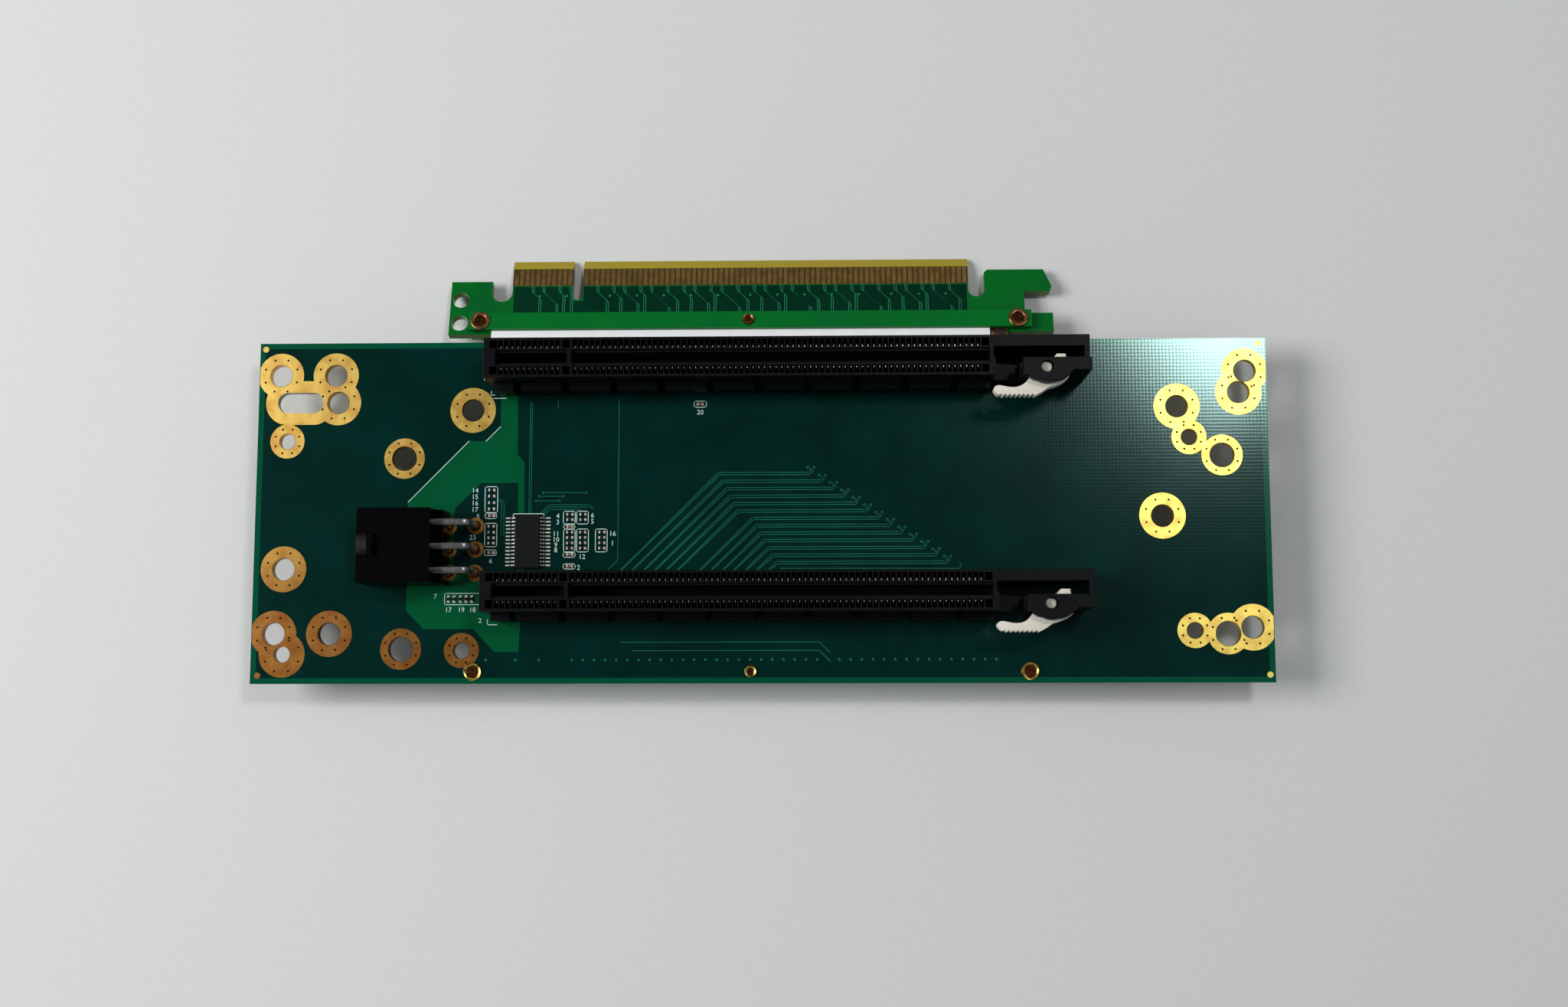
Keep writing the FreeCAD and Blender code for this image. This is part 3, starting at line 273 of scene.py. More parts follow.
def cardMaterial(name, look):
    # Solder mask on a card with few planes, so that light passes: a brighter green than the board's.
    # The tongue's bevel and the gaps between its fingers show the bare olive laminate
    material, tree, place = newMaterial(name)
    back = Matrix.Rotation(cardTilt, 3, "X") @ -cardCorner
    onCard = addNode(tree, "Mapping", {"Vector": place, "Location": back, "Rotation": (cardTilt, 0.0, 0.0)})
    parts = addNode(tree, "SeparateXYZ", {0: onCard})
    colour = addCutEdge(tree, addClouds(tree, place, look, 6), cardTilt, 0.6, look["core"])
    root, left, right = inMetres(look["tongueMm"])
    inside = addNode(tree, "Math", {0: parts.outputs[1], 1: root}, operation="GREATER_THAN")
    for end, operation in ((left, "GREATER_THAN"), (right, "LESS_THAN")):
        past = addNode(tree, "Math", {0: parts, 1: end}, operation=operation)
        inside = addNode(tree, "Math", {0: inside, 1: past}, operation="MULTIPLY")
    bevel = addNode(tree, "Math", {0: parts.outputs[1], 1: look["bevelMm"] * mm}, operation="GREATER_THAN")
    bevel = addNode(tree, "Math", {0: bevel, 1: inside}, operation="MULTIPLY")
    for share, tone in ((inside, look["tongue"]), (bevel, look["bevel"])):
        colour = addNode(tree, "Mix", {0: share, 6: colour, 7: tone}, data_type="RGBA")
    ripple = addNode(tree, "TexNoise", {"Vector": place, "Scale": 1 / (1.2 * mm), "Detail": 2.0})
    bump = addNode(tree, "Bump", {"Height": ripple, "Distance": 0.02 * mm, "Strength": 0.6})
    addShader(tree, {"Base Color": colour, "Roughness": look["roughness"], "IOR": 1.52, "Normal": bump,
                     "Specular Tint": "d4fff8", "Specular IOR Level": look["shine"]})
    return material


foil = sheetMaterial("rolled_aluminium_foil", {
    "colour": "fbfbfc", "crease": "e9e9ec", "share": (0.0, 1.0), "creaseMm": 3.5, "stretch": 0.25,
    "reliefMm": 0.1, "sockets": {"Metallic": 0.05, "Roughness": 0.4}})
# Amber polyimide film over a dark woven shield: brown and glossy, with golden specks
film = sheetMaterial("amber_polyimide_film", {
    "colour": "241307", "crease": "8a5f1e", "share": (0.5, 0.68), "creaseMm": 0.7, "stretch": 1.0,
    "reliefMm": 0.05, "sockets": {"Roughness": 0.25, "IOR": 1.6}})

carried = {
    "main_board": boardMask, "edge_card": cardMaterial("solder_mask_on_the_plug_card", cardSkin),
    "power_header_housing": headerNylon, "card_strip_front": stripMask, "card_strip_back": stripMask,
    "board_strip": stripMask, "ribbon_upper": foil, "ribbon_lower": foil, "ribbon_film": film,
}
for name, material in carried.items():
    holder = nodes[name]
    if not holder.material_slots:
        holder.data.materials.append(material)
    for slot in holder.material_slots:
        slot.material = material
print("materials made")


def newObject(name, data):
    made = bpy.data.objects.new(name, data)
    bpy.context.scene.collection.objects.link(made)
    return made


def sharpEdges(bm, degrees):
    return [edge for edge in bm.edges if len(edge.link_faces) == 2
            and edge.calc_face_angle(0.0) > math.radians(degrees)]


def unitMesh(name, bm):
    mesh = bpy.data.meshes.new(name)
    bm.to_mesh(mesh)
    bm.free()
    return mesh


def newPiece(name, bm, materials, body="riser", replaced=None):
    piece = newObject(name, unitMesh(name, bm))
    for material in materials:
        piece.data.materials.append(material)
    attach(piece, body)
    if replaced:
        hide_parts(replaced)
    return piece


def painted(verts, materialIndex):
    for face in facesOf(verts):
        face.material_index = materialIndex
    return verts


def addBlock(bm, low, high, materialIndex=0):
    verts = bmesh.ops.create_cube(bm, size=1.0)["verts"]
    bmesh.ops.scale(bm, vec=[b - a for a, b in zip(low, high)], verts=verts)
    bmesh.ops.translate(bm, vec=[(a + b) / 2 for a, b in zip(low, high)], verts=verts)
    return painted(verts, materialIndex)


def addStrip(bm, start, end, width, low, high, materialIndex=0):
    # A flat bar from start to end, run on by half its width so that corners close
    along = Vector(end) - Vector(start)
    verts = addBlock(bm, (-width / 2, -width / 2, low), (along.length + width / 2, width / 2, high), materialIndex)
    turn = Matrix.Rotation(math.atan2(along.y, along.x), 4, "Z")
    bmesh.ops.transform(bm, matrix=Matrix.Translation((*start, 0.0)) @ turn, verts=verts)
    return verts


def addPath(bm, pointsMm, widthMm, low, high, closed=False, materialIndex=0):
    points = [(x * mm, y * mm) for x, y in pointsMm]
    pairs = list(zip(points, points[1:] + points[:1]))
    verts = []
    for start, end in pairs if closed else pairs[:-1]:
        verts += addStrip(bm, start, end, widthMm * mm, low, high, materialIndex)
    return verts


def addTurned(bm, profile, centre, steps, materialIndex=0):
    # profile is the closed section as radius and height, spun about the upright through centre
    made = [bm.verts.new((centre[0] + r, centre[1], centre[2] + z)) for r, z in profile]
    edges = [bm.edges.new(pair) for pair in zip(made, made[1:] + made[:1])]
    before = set(bm.verts) - set(made)
    bmesh.ops.spin(bm, geom=made + edges, cent=centre, axis=(0, 0, 1), angle=2 * math.pi, steps=steps,
                   use_merge=True, use_duplicate=False)
    fresh = [vertex for vertex in bm.verts if vertex not in before]
    bmesh.ops.recalc_face_normals(bm, faces=facesOf(fresh))
    return painted(fresh, materialIndex)


def addDisc(bm, centre, radius, low, high, steps=24, materialIndex=0, topRadius=None):
    upper = radius if topRadius is None else topRadius
    verts = bmesh.ops.create_cone(bm, cap_ends=True, cap_tris=False, segments=steps, radius1=radius,
                                  radius2=upper, depth=high - low)["verts"]
    bmesh.ops.translate(bm, vec=(centre[0], centre[1], (low + high) / 2), verts=verts)
    return painted(verts, materialIndex)


def addPlate(bm, outline, low, high, materialIndex=0):
    verts = [bm.verts.new((x, y, low)) for x, y in outline]
    lifted = bmesh.ops.extrude_face_region(bm, geom=[bm.faces.new(verts)])
    top = kept(lifted["geom"], bmesh.types.BMVert)
    bmesh.ops.translate(bm, vec=(0, 0, high - low), verts=top)
    bmesh.ops.recalc_face_normals(bm, faces=facesOf(verts + top))
    return painted(verts + top, materialIndex)


def addBand(bm, section, across, thickness, corner, segments=3):
    # A strip bent to section (x and z, in metres), corners rounded, pushed along Y and given its thickness
    made = [bm.verts.new((x, -across / 2, z)) for x, z in section]
    edges = [bm.edges.new(pair) for pair in zip(made, made[1:])]
    if corner:
        bent = bmesh.ops.bevel(bm, geom=made[1:-1], offset=corner, segments=segments, profile=0.5,
                               affect="VERTICES", material=-1)
        edges = edgesOf([vertex for vertex in bent["verts"] + [made[0], made[-1]] if vertex.is_valid])
    pushed = bmesh.ops.extrude_edge_only(bm, edges=edges)
    far = kept(pushed["geom"], bmesh.types.BMVert)
    faces = kept(pushed["geom"], bmesh.types.BMFace)
    bmesh.ops.translate(bm, vec=(0, across, 0), verts=far)
    bmesh.ops.recalc_face_normals(bm, faces=faces)
    bmesh.ops.solidify(bm, geom=faces, thickness=thickness)
    bmesh.ops.recalc_face_normals(bm, faces=bm.faces[:])


def rounded(bm, edges, widthMm, segments=2):
    bmesh.ops.bevel(bm, geom=edges, offset=widthMm * mm, offset_type="OFFSET", segments=segments, profile=0.5,
                    affect="EDGES", clamp_overlap=True, material=-1)


def addCopy(bm, mesh, place=(0.0, 0.0, 0.0), turn=0.0):
    first = len(bm.verts)
    bm.from_mesh(mesh)
    bm.verts.ensure_lookup_table()
    matrix = Matrix.Translation(place) @ Matrix.Rotation(turn, 4, "Z")
    bmesh.ops.transform(bm, matrix=matrix, verts=bm.verts[first:])


def keptMesh(holder):
    # The shape that a curve or a modifier gives, as a mesh of its own
    bpy.context.view_layer.update()
    return bpy.data.meshes.new_from_object(holder.evaluated_get(bpy.context.evaluated_depsgraph_get()))


def kept(items, kind):
    return [item for item in items if isinstance(item, kind)]


def facesOf(verts):
    # Each face once, in an order that is the same each run
    return list(dict.fromkeys(face for vertex in verts for face in vertex.link_faces))


def edgesOf(verts):
    return list(dict.fromkeys(edge for vertex in verts for edge in vertex.link_edges))


def cadCopy(nodeName):
    # The CAD mesh is loose triangles, so its doubles are merged and its flat faces joined
    bm = bmesh.new()
    bm.from_mesh(nodes[nodeName].data)
    bmesh.ops.remove_doubles(bm, verts=bm.verts[:], dist=0.0005 * mm)
    bmesh.ops.dissolve_limit(bm, angle_limit=math.radians(0.5), verts=bm.verts[:], edges=bm.edges[:])
    return bm


def shadeSmooth(piece, angleDegrees=35.0):
    for polygon in piece.data.polygons:
        polygon.use_smooth = True
    piece.data.set_sharp_from_angle(angle=math.radians(angleDegrees))


def cutBy(piece, cutters):
    # Takes the cutters' shapes out of a piece and keeps the result as its mesh
    tool = newObject("cutter", unitMesh("cutter", cutters))
    cut = piece.modifiers.new("cut", "BOOLEAN")
    cut.object = tool
    cut.operation = "DIFFERENCE"
    cut.solver = "EXACT"
    cut.use_self = True
    made = keptMesh(piece)
    piece.modifiers.clear()
    piece.data = made
    bpy.data.objects.remove(tool)


# Plated mounting holes: x and y in mm, and the hole's and the land's width in mm for each kind
holeKinds = {"large": (4.1, 8.2), "wide": (4.5, 7.3), "small": (3.0, 6.2), "swollen": (3.0, 8.2)}
mountingHoles = [
    (-86.45, 16.05, "large"), (-76.5, 16.05, "large"), (-75.95, 11.1, "large"), (-85.0, 4.1, "small"),
    (-51.55, 9.6, "large"), (-63.75, 0.9, "wide"), (-85.0, -18.95, "large"), (-86.45, -30.45, "large"),
    (-84.85, -34.1, "swollen"), (-76.5, -30.45, "large"), (-63.65, -33.2, "wide"), (-52.85, -33.45, "small"),
    (86.55, 16.05, "large"), (85.35, 12.2, "large"), (74.35, 9.7, "large"), (76.4, 4.15, "small"),
    (82.15, 0.9, "wide"), (71.35, -9.9, "large"), (76.55, -30.2, "small"), (82.35, -30.75, "wide"),
    (86.65, -29.65, "large"),
]
landLook = {
    "thickness": 0.045 * mm,
    "plating": 0.05 * mm,
    "longHoleMm": (-82.8, 11.1, 8.4, 3.9),
    "longLandMm": (12.6, 8.0),
    "bridgeMm": (-84.2, 11.0, -77.6, 14.9),
    "rimGap": 0.12 * mm,
    "viaWidth": 0.4 * mm,
    "viasARing": 8,
}


def stretched(verts, centreX, half):
    for vertex in verts:
        vertex.co.x += half if vertex.co.x > centreX else -half


def makeLands():
    thick = landLook["thickness"]
    plating = landLook["plating"]
    discs = bmesh.new()
    drills = bmesh.new()
    barrels = bmesh.new()
    vias = bmesh.new()
    for x, y, kind in mountingHoles:
        hole, land = [width * mm / 2 for width in holeKinds[kind]]
        centre = (x * mm, y * mm)
        addDisc(discs, centre, land, 0.0, thick, 56)
        addDisc(drills, centre, hole - plating, -thick, 2 * thick, 48)
        section = [(hole - plating, boardBottom - thick), (hole - 0.002 * mm, boardBottom - thick),
                   (hole - 0.002 * mm, boardTop + thick), (hole - plating, boardTop + thick)]
        addTurned(barrels, section, (*centre, 0.0), 42)
        ring = land - 0.9 * mm if kind == "swollen" else (hole + land) / 2
        for i in range(landLook["viasARing"]):
            angle = math.radians(22.5 + 360.0 / landLook["viasARing"] * i)
            spot = Vector(centre) + ring * Vector((math.cos(angle), math.sin(angle)))
            room = [(spot - Vector((a, b)) * mm).length - holeKinds[other][0] * mm / 2
                    for a, b, other in mountingHoles]
            if min(room) > 0.3 * mm and abs(spot.x) < boardHigh[0] - 0.6 * mm:
                for low, high in bothFaces(thick + 0.004 * mm):
                    addDisc(vias, spot, landLook["viaWidth"] / 2, low, high, 10)
    x, y, length, width = inMetres(landLook["longHoleMm"])
    landLength, landWidth = inMetres(landLook["longLandMm"])
    stretched(addDisc(discs, (x, y), landWidth / 2, 0.0, thick, 58), x, (landLength - landWidth) / 2)
    stretched(addDisc(drills, (x, y), width / 2 - plating, -thick, 2 * thick, 50), x, (length - width) / 2)
    left, bottom, right, top = inMetres(landLook["bridgeMm"])
    addBlock(discs, (left, bottom, 0.0), (right, top, thick))

    lands = newPiece("plated_lands", discs, [landGold])
    cutBy(lands, drills)
    shaped = bmesh.new()
    shaped.from_mesh(lands.data)
    for side in (-1, 1):
        edge = (side * (boardHigh[0] - landLook["rimGap"]), 0.0, 0.0)
        cut = bmesh.ops.bisect_plane(shaped, geom=shaped.verts[:] + shaped.edges[:] + shaped.faces[:],
                                     plane_co=edge, plane_no=(side, 0, 0), clear_outer=True)
        bmesh.ops.holes_fill(shaped, edges=kept(cut["geom_cut"], bmesh.types.BMEdge), sides=0)
    upper = shaped.verts[:]
    twin = bmesh.ops.duplicate(shaped, geom=shaped.verts[:] + shaped.edges[:] + shaped.faces[:])
    under = kept(twin["geom"], bmesh.types.BMVert)
    bmesh.ops.translate(shaped, vec=(0, 0, boardTop), verts=upper)
    bmesh.ops.translate(shaped, vec=(0, 0, boardBottom - thick), verts=under)
    shaped.to_mesh(lands.data)
    shaped.free()
    shadeSmooth(newPiece("plated_hole_walls", barrels, [landGold]))
    # Dark via discs: painted shade in place of open bores
    newPiece("stitching_vias", vias, [viaShade])


makeLands()
print("lands made")

# Copper windows, traces and legend, all in mm on the board's top
maskWindows = {
    "pour": [(-46.56, 13.4), (-43.5, 13.4), (-43.39, 1.61), (-42.12, 0.18), (-41.95, -20.0), (-42.74, -33.72),
             (-46.97, -33.71), (-50.84, -29.69), (-59.69, -29.67), (-62.85, -26.43), (-63.0, -7.0),
             (-52.2, 4.02), (-49.18, 4.0), (-46.52, 6.68)],
    "island": [(-54.48, -20.0), (-54.48, -8.15), (-49.85, -3.56), (-43.19, -3.58), (-43.19, -20.0)],
}
traceLook = {
    "widthMm": 0.13,
    "lift": 0.03 * mm,
    "pairGapMm": 0.42,
    "kneesMm": [(-7.34, -1.88), (-6.66, -3.25), (-5.88, -4.58), (-5.29, -5.95), (-4.61, -7.27), (-3.93, -8.6),
                (-1.26, -9.92), (-0.58, -11.24), (0.15, -12.56), (0.82, -13.88), (1.59, -15.2), (2.27, -16.51),
                (3.03, -17.82)],
    "firstEndMm": 8.84,
    "endStepMm": 2.01,
    "slotEdgeMm": -20.2,
    "viaRadius": 0.24 * mm,
    "frontRowMm": (-35.15, -33.2, 1.97),  # vias behind the front edge: their y, the first x and the pitch
    "frontRowCount": 39,
    "frontLoneMm": [-48.47, -43.24, -39.05],
    "runsMm": [
        [(3.62, -19.04), (35.06, -19.14)], [(3.8, -19.46), (35.3, -19.56), (35.6, -18.4)],
        [(-25.21, 11.4), (-25.23, -17.55), (-26.94, -19.17)], [(-41.2, 11.0), (-41.2, -9.0)],
        [(-40.85, 11.0), (-40.85, -9.0)], [(-39.1, -9.09), (-37.65, -7.54), (-30.48, -7.57), (-29.75, -8.37)],
        [(-38.76, -9.25), (-37.5, -7.95), (-30.7, -7.97)], [(-38.4, -9.3), (-37.41, -8.41), (-31.84, -8.43)],
        [(-46.75, -6.5), (-46.1, -7.2), (-46.1, -13.0)], [(-46.3, -6.5), (-45.65, -7.2), (-45.65, -13.0)],
        [(-24.5, -32.06), (10.5, -32.06), (12.5, -33.96)], [(-22.5, -33.55), (10.5, -33.55), (12.5, -35.45)],
        [(-36.2, 11.4), (-36.2, 9.9)],
    ],
    "jumpersMm": [((-38.66, -5.35), (-30.96, -5.38)), ((-39.38, -6.01), (-35.1, -6.02)),
                  ((-39.93, -6.83), (-35.77, -6.84))],
}


def makeTraces():
    bm = bmesh.new()
    low = boardTop
    high = boardTop + traceLook["lift"]
    width = traceLook["widthMm"]
    gap = traceLook["pairGapMm"]
    spots = []
    for i, (kneeX, kneeY) in enumerate(traceLook["kneesMm"]):
        endX = traceLook["firstEndMm"] + i * traceLook["endStepMm"]
        drop = kneeY - traceLook["slotEdgeMm"]
        for number in (0, 1):
            shift = number * gap
            addPath(bm, [(kneeX - drop + shift * 0.4, traceLook["slotEdgeMm"]),
                         (kneeX + shift * 0.4, kneeY - shift), (endX + shift * 0.5, kneeY - shift),
                         (endX + 0.45 + shift * 0.9, kneeY + 0.5)], width, low, high)
            spots.append((endX - 0.25 + number * 1.15, kneeY + 0.85))
        addPath(bm, [(endX + 0.45, kneeY + 0.5), (endX - 0.25, kneeY + 0.85)], width, low, high)
        addPath(bm, [(endX + 0.83, kneeY + 0.5), (endX + 0.9, kneeY + 0.85)], width, low, high)
    for run in traceLook["runsMm"] + [list(jumper) for jumper in traceLook["jumpersMm"]]:
        addPath(bm, run, width, low, high)
    for jumper in traceLook["jumpersMm"]:
        spots += jumper
    rowY, firstX, pitch = traceLook["frontRowMm"]
    rowX = [firstX + pitch * i for i in range(traceLook["frontRowCount"])]
    spots += [(x, rowY) for x in traceLook["frontLoneMm"] + rowX]
    for x, y in spots:
        addDisc(bm, (x * mm, y * mm), traceLook["viaRadius"], low, high, 10)
    newPiece("signal_traces", bm, [traceMask])


windows = bmesh.new()
for step, outline in enumerate(maskWindows.values()):
    addPlate(windows, [(x * mm, y * mm) for x, y in outline], boardTop, boardTop + (0.012 + 0.006 * step) * mm, step)
newPiece("mask_windows", windows, [windowMask, boardMask])
makeTraces()

legendLook = {
    "lineMm": 0.12,
    "lift": 0.05 * mm,
    "groupsMm": [
        (-49.09, -4.25, -46.84, -8.9), (-49.0, -9.0, -47.0, -9.97), (-49.04, -10.83, -46.89, -15.04),
        (-49.07, -15.6, -46.93, -16.6), (-35.02, -8.72, -32.9, -11.0), (-32.63, -8.73, -30.56, -11.01),
        (-34.94, -11.1, -32.93, -11.9), (-34.93, -11.98, -32.88, -16.0), (-34.96, -16.1, -32.82, -16.95),
        (-34.94, -18.15, -32.8, -19.05), (-32.59, -11.91, -30.5, -16.01), (-29.25, -11.93, -27.15, -16.02),
        (-56.02, -23.34, -49.4, -25.35), (-11.75, 11.05, -9.55, 9.95),
    ],
    "linesMm": [
        [(-43.99, -9.6), (-43.99, -9.14), (-38.53, -9.14), (-38.53, -9.6)],
        [(-48.3, 13.05), (-48.3, 12.35), (-47.7, 12.35)], [(-47.9, 11.75), (-45.6, 11.75)],
        [(-48.3, -28.0), (-48.3, -28.9), (-46.6, -28.9)],
        # These two lines along the copper pour's slanted edge are a painted highlight on the copper's step, drawn in
        # legend ink
        [(-62.9, -6.95), (-52.2, 3.97)], [(-49.1, 4.0), (-46.52, 6.62)],
    ],
    "numbers": [
        ("14", -50.9, -4.95), ("15", -50.9, -6.1), ("16", -50.9, -7.25), ("17", -50.9, -8.4), ("5", -50.3, -9.7),
        ("23", -51.2, -13.4), ("6", -47.9, -17.6), ("4", -36.0, -9.6), ("3", -36.0, -10.7), ("6", -29.8, -9.5),
        ("5", -29.8, -10.6), ("11", -36.3, -12.8), ("10", -36.3, -13.8), ("9", -36.3, -14.8), ("8", -36.3, -15.7),
        ("12", -31.6, -16.9), ("2", -32.2, -18.8), ("16", -26.2, -12.8), ("1", -26.2, -14.5), ("20", -10.65, 9.0),
        ("1", -49.6, 15.4), ("2", -49.6, -28.2), ("7", -57.7, -23.9), ("17", -55.3, -26.3), ("19", -53.0, -26.3),
        ("18", -51.0, -26.3),
    ],
    "numberHeightMm": 0.85,
}


def makeLegend():
    bm = bmesh.new()
    low = boardTop + 0.012 * mm
    high = boardTop + legendLook["lift"]
    corner = 0.22
    for left, top, right, bottom in legendLook["groupsMm"]:
        addPath(bm, [(left + corner, top), (right - corner, top), (right, top - corner), (right, bottom + corner),
                     (right - corner, bottom), (left + corner, bottom), (left, bottom + corner),
                     (left, top - corner)], legendLook["lineMm"], low, high, True)
    for run in legendLook["linesMm"]:
        addPath(bm, run, legendLook["lineMm"], low, high)
    newPiece("legend_lines", bm, [legendInk])
    parts = bmesh.new()
    for text, x, y in legendLook["numbers"]:
        curve = bpy.data.curves.new("number", "FONT")
        curve.body = text
        curve.size = legendLook["numberHeightMm"] * mm * 1.45
        curve.align_x = "CENTER"
        curve.align_y = "CENTER"
        curve.resolution_u = 2
        curve.extrude = 0.012 * mm
        holder = newObject("number", curve)
        addCopy(parts, keptMesh(holder), (x * mm, y * mm, boardTop + 0.034 * mm))
        bpy.data.objects.remove(holder)
    newPiece("legend_numbers", parts, [legendInk])


makeLegend()
aimingDotsMm = [(-89.4, 20.94), (-89.12, -37.83), (89.16, 21.0), (89.42, -37.94)]
aimingDotRadius = 0.55 * mm
dots = bmesh.new()
for x, y in aimingDotsMm:
    addDisc(dots, (x * mm, y * mm), aimingDotRadius, boardTop, boardTop + 0.035 * mm, 20)
newPiece("aiming_dots", dots, [landGold])
print("traces and legend made")

# Slot housings: the CAD's body with upright-walled windows cut deeper and its long edges softened
housingLook = {
    "edgeMm": 0.25,
    "windowMm": (0.8, 1.60, 3.04),       # width, then inner and outer wall from the slot's middle
    "windowDeepMm": 5.0,
    "slotMm": (-0.9, 11.6, 12.5, 85.0),  # card slot either side of the key, from the first contact
    "cutsMm": ((0.92, 7.95), (1.32, 0.72)),          # the slot's and its mouth's half width and depth
    "gapMm": (85.65, 87.0, -0.38, 1.48),             # lever's beak: x from the first contact, y from the middle
    "bodyHalfMm": 3.5,
    "frameMm": 86.6,                     # where the latch frame starts, from the first contact
    "pivotMm": (94.65, -2.4),
    "earDropMm": 0.5,                    # ear's straight edge and tab nearer to the pivot
    # Top plate of the ear: its outline about the pivot, and its thickness
    "plateMm": [(-3.7, 0.5), (-3.7, -0.86), (-3.2, -1.8), (-2.3, -2.35), (-0.6, -2.57), (1.6, -2.62),
                (2.7, -2.3), (3.6, -1.7), (4.4, -0.9), (4.4, 0.5)],
    "plateThickMm": 1.6,
    "boreMm": 1.08,
}


def shapeEar(bm, middle):
    # The ear's straight edge and its tab sit nearer to the pivot, and a broad top plate covers the lever's root;
    # the plate and the bore through it come back as meshes of their own
    pivotX = firstContactX + housingLook["pivotMm"][0] * mm
    pivotY = middle + housingLook["pivotMm"][1] * mm
    inside = middle - 0.4 * mm
    tabBottom = inside - 2.4 * mm
    for vertex in bm.verts:
        if abs(vertex.co.y - inside) < 0.01 * mm and vertex.co.x > pivotX - 4.2 * mm:
            vertex.co.y -= housingLook["earDropMm"] * mm
        elif abs(vertex.co.y - tabBottom) < 0.01 * mm and vertex.co.x > pivotX + 4.0 * mm:
            vertex.co.y -= 0.6 * housingLook["earDropMm"] * mm
    earTop = max(v.co.z for v in bm.verts if v.co.x > pivotX and v.co.y < pivotY)
    outline = [(pivotX + x * mm, pivotY + y * mm) for x, y in housingLook["plateMm"]]
    ear = bmesh.new()
    addPlate(ear, outline, earTop - housingLook["plateThickMm"] * mm, earTop + 0.02 * mm)
    rounded(ear, [edge for edge in ear.edges if min(v.co.z for v in edge.verts) > earTop], 0.12, 2)
    bore = bmesh.new()
    addDisc(bore, (pivotX, pivotY), housingLook["boreMm"] * mm, earTop - 1.9 * mm, earTop + 1.0 * mm, 32)
    return ear, bore


def makeHousing(slotName):
    middle = slotRows[slotName]
    name = slotName + "_housing"
    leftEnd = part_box(name)[0][0]
    bm = cadCopy(name)
    ear, bore = shapeEar(bm, middle)
    outer = []
    for edge in sharpEdges(bm, 40):
        centre = (edge.verts[0].co + edge.verts[1].co) / 2
        onSide = abs(abs(centre.y - middle) - housingLook["bodyHalfMm"] * mm) < 0.01 * mm
        onEnd = centre.x > firstContactX + housingLook["frameMm"] * mm or centre.x < leftEnd + 0.01 * mm
        if edge.calc_length() > 0.9 * mm and centre.z > boardTop + 1.0 * mm and (onSide or onEnd):
            outer.append(edge)
    rounded(bm, outer, housingLook["edgeMm"], 2)
    piece = newPiece(slotName + "_moulded_housing", bm, [slotNylon], replaced=name)
    cutters = bmesh.new()
    wide, inner, reach = housingLook["windowMm"]
    deepest = housingLook["windowDeepMm"] * mm
    for step in contactSteps:
        x = firstContactX + step * mm
        for side in (-1, 1):
            ends = sorted((middle + side * inner * mm, middle + side * reach * mm))
            addBlock(cutters, (x - wide / 2 * mm, ends[0], slotTop - deepest),
                     (x + wide / 2 * mm, ends[1], slotTop + 1.0 * mm))
    left, keyLeft, keyRight, right = [firstContactX + v * mm for v in housingLook["slotMm"]]
    for start, end in ((left, keyLeft), (keyRight, right)):
        for half, deep in housingLook["cutsMm"]:
            addBlock(cutters, (start, middle - half * mm, slotTop - deep * mm),
                     (end, middle + half * mm, slotTop + 1.0 * mm))
    left, right, front, back = inMetres(housingLook["gapMm"])
    addBlock(cutters, (firstContactX + left, middle + front, boardTop + 0.5 * mm),
             (firstContactX + right, middle + back, slotTop + 1.0 * mm))
    addCopy(cutters, unitMesh("bore", bore.copy()))
    cutBy(piece, cutters)
    cutBy(newPiece(slotName + "_latch_ear", ear, [slotNylon]), bore)


# One spring contact: section from the tip by the card slot, out and down to the window's floor
contactLook = {
    "widthMm": 0.26,
    "thicknessMm": 0.16,
    "sectionMm": [(1.8, -0.75), (1.9, -0.55), (2.3, -0.9), (2.8, -1.5), (2.85, -4.8)],
    "tipMm": (0.16, 0.1),                # painted glint, a bright dome in the solder's colour on the tip: radius at its foot and its top
    "tailMm": 0.32,
    "tailRowsMm": (2.9, 1.25),
    "padMm": 0.5,
    "coneMm": (0.14, 0.4, 0.8),          # solder round a tail: radius below and above, and height
}


def makeContacts(slotName, row, side):
    middle = slotRows[slotName]
    section = [(side * y * mm, slotTop + z * mm) for y, z in contactLook["sectionMm"]]
    strip = bmesh.new()
    addBand(strip, section, contactLook["widthMm"] * mm, contactLook["thicknessMm"] * mm, 0.2 * mm, 2)
    bmesh.ops.rotate(strip, verts=strip.verts[:], matrix=Matrix.Rotation(math.pi / 2, 3, "Z"))
    tipY, tipZ = section[0]
    foot, crown = inMetres(contactLook["tipMm"])
    # Each tip gets a dome of the bright solder material: a painted glint where the spring meets the card slot
    addDisc(strip, (0.0, tipY), foot, tipZ - 0.02 * mm, tipZ + 0.14 * mm, 8, 1, crown)
    spring = unitMesh("spring", strip)
    tail = bmesh.new()
    half = contactLook["tailMm"] / 2 * mm
    verts = addBlock(tail, (-half, -half, boardBottom - 1.5 * mm), (half, half, boardTop + 0.6 * mm))
    bmesh.ops.scale(tail, vec=(0.5, 0.5, 1.0), verts=[v for v in verts if v.co.z < boardBottom])
    pin = unitMesh("tail", tail)
    narrow, broad, deep = inMetres(contactLook["coneMm"])
    bm = bmesh.new()
    solder = bmesh.new()
    for number, step in enumerate(contactSteps):
        x = firstContactX + step * mm
        y = middle + side * contactLook["tailRowsMm"][number % 2] * mm
        addCopy(bm, spring, (x, middle, 0.0))
        addCopy(bm, pin, (x, y, 0.0))
        addDisc(solder, (x, y), contactLook["padMm"] * mm, boardBottom - 0.05 * mm, boardBottom, 12, 1)
        addDisc(solder, (x, y), narrow, boardBottom - deep, boardBottom - 0.04 * mm, 8, 0, broad)
    newPiece("%s_spring_contacts_%s" % (slotName, row), bm, [springMetal, solderMetal],
             replaced="%s_contacts_%s" % (slotName, row))
    newPiece("%s_tail_solder_%s" % (slotName, row), solder, [solderMetal, landGold])


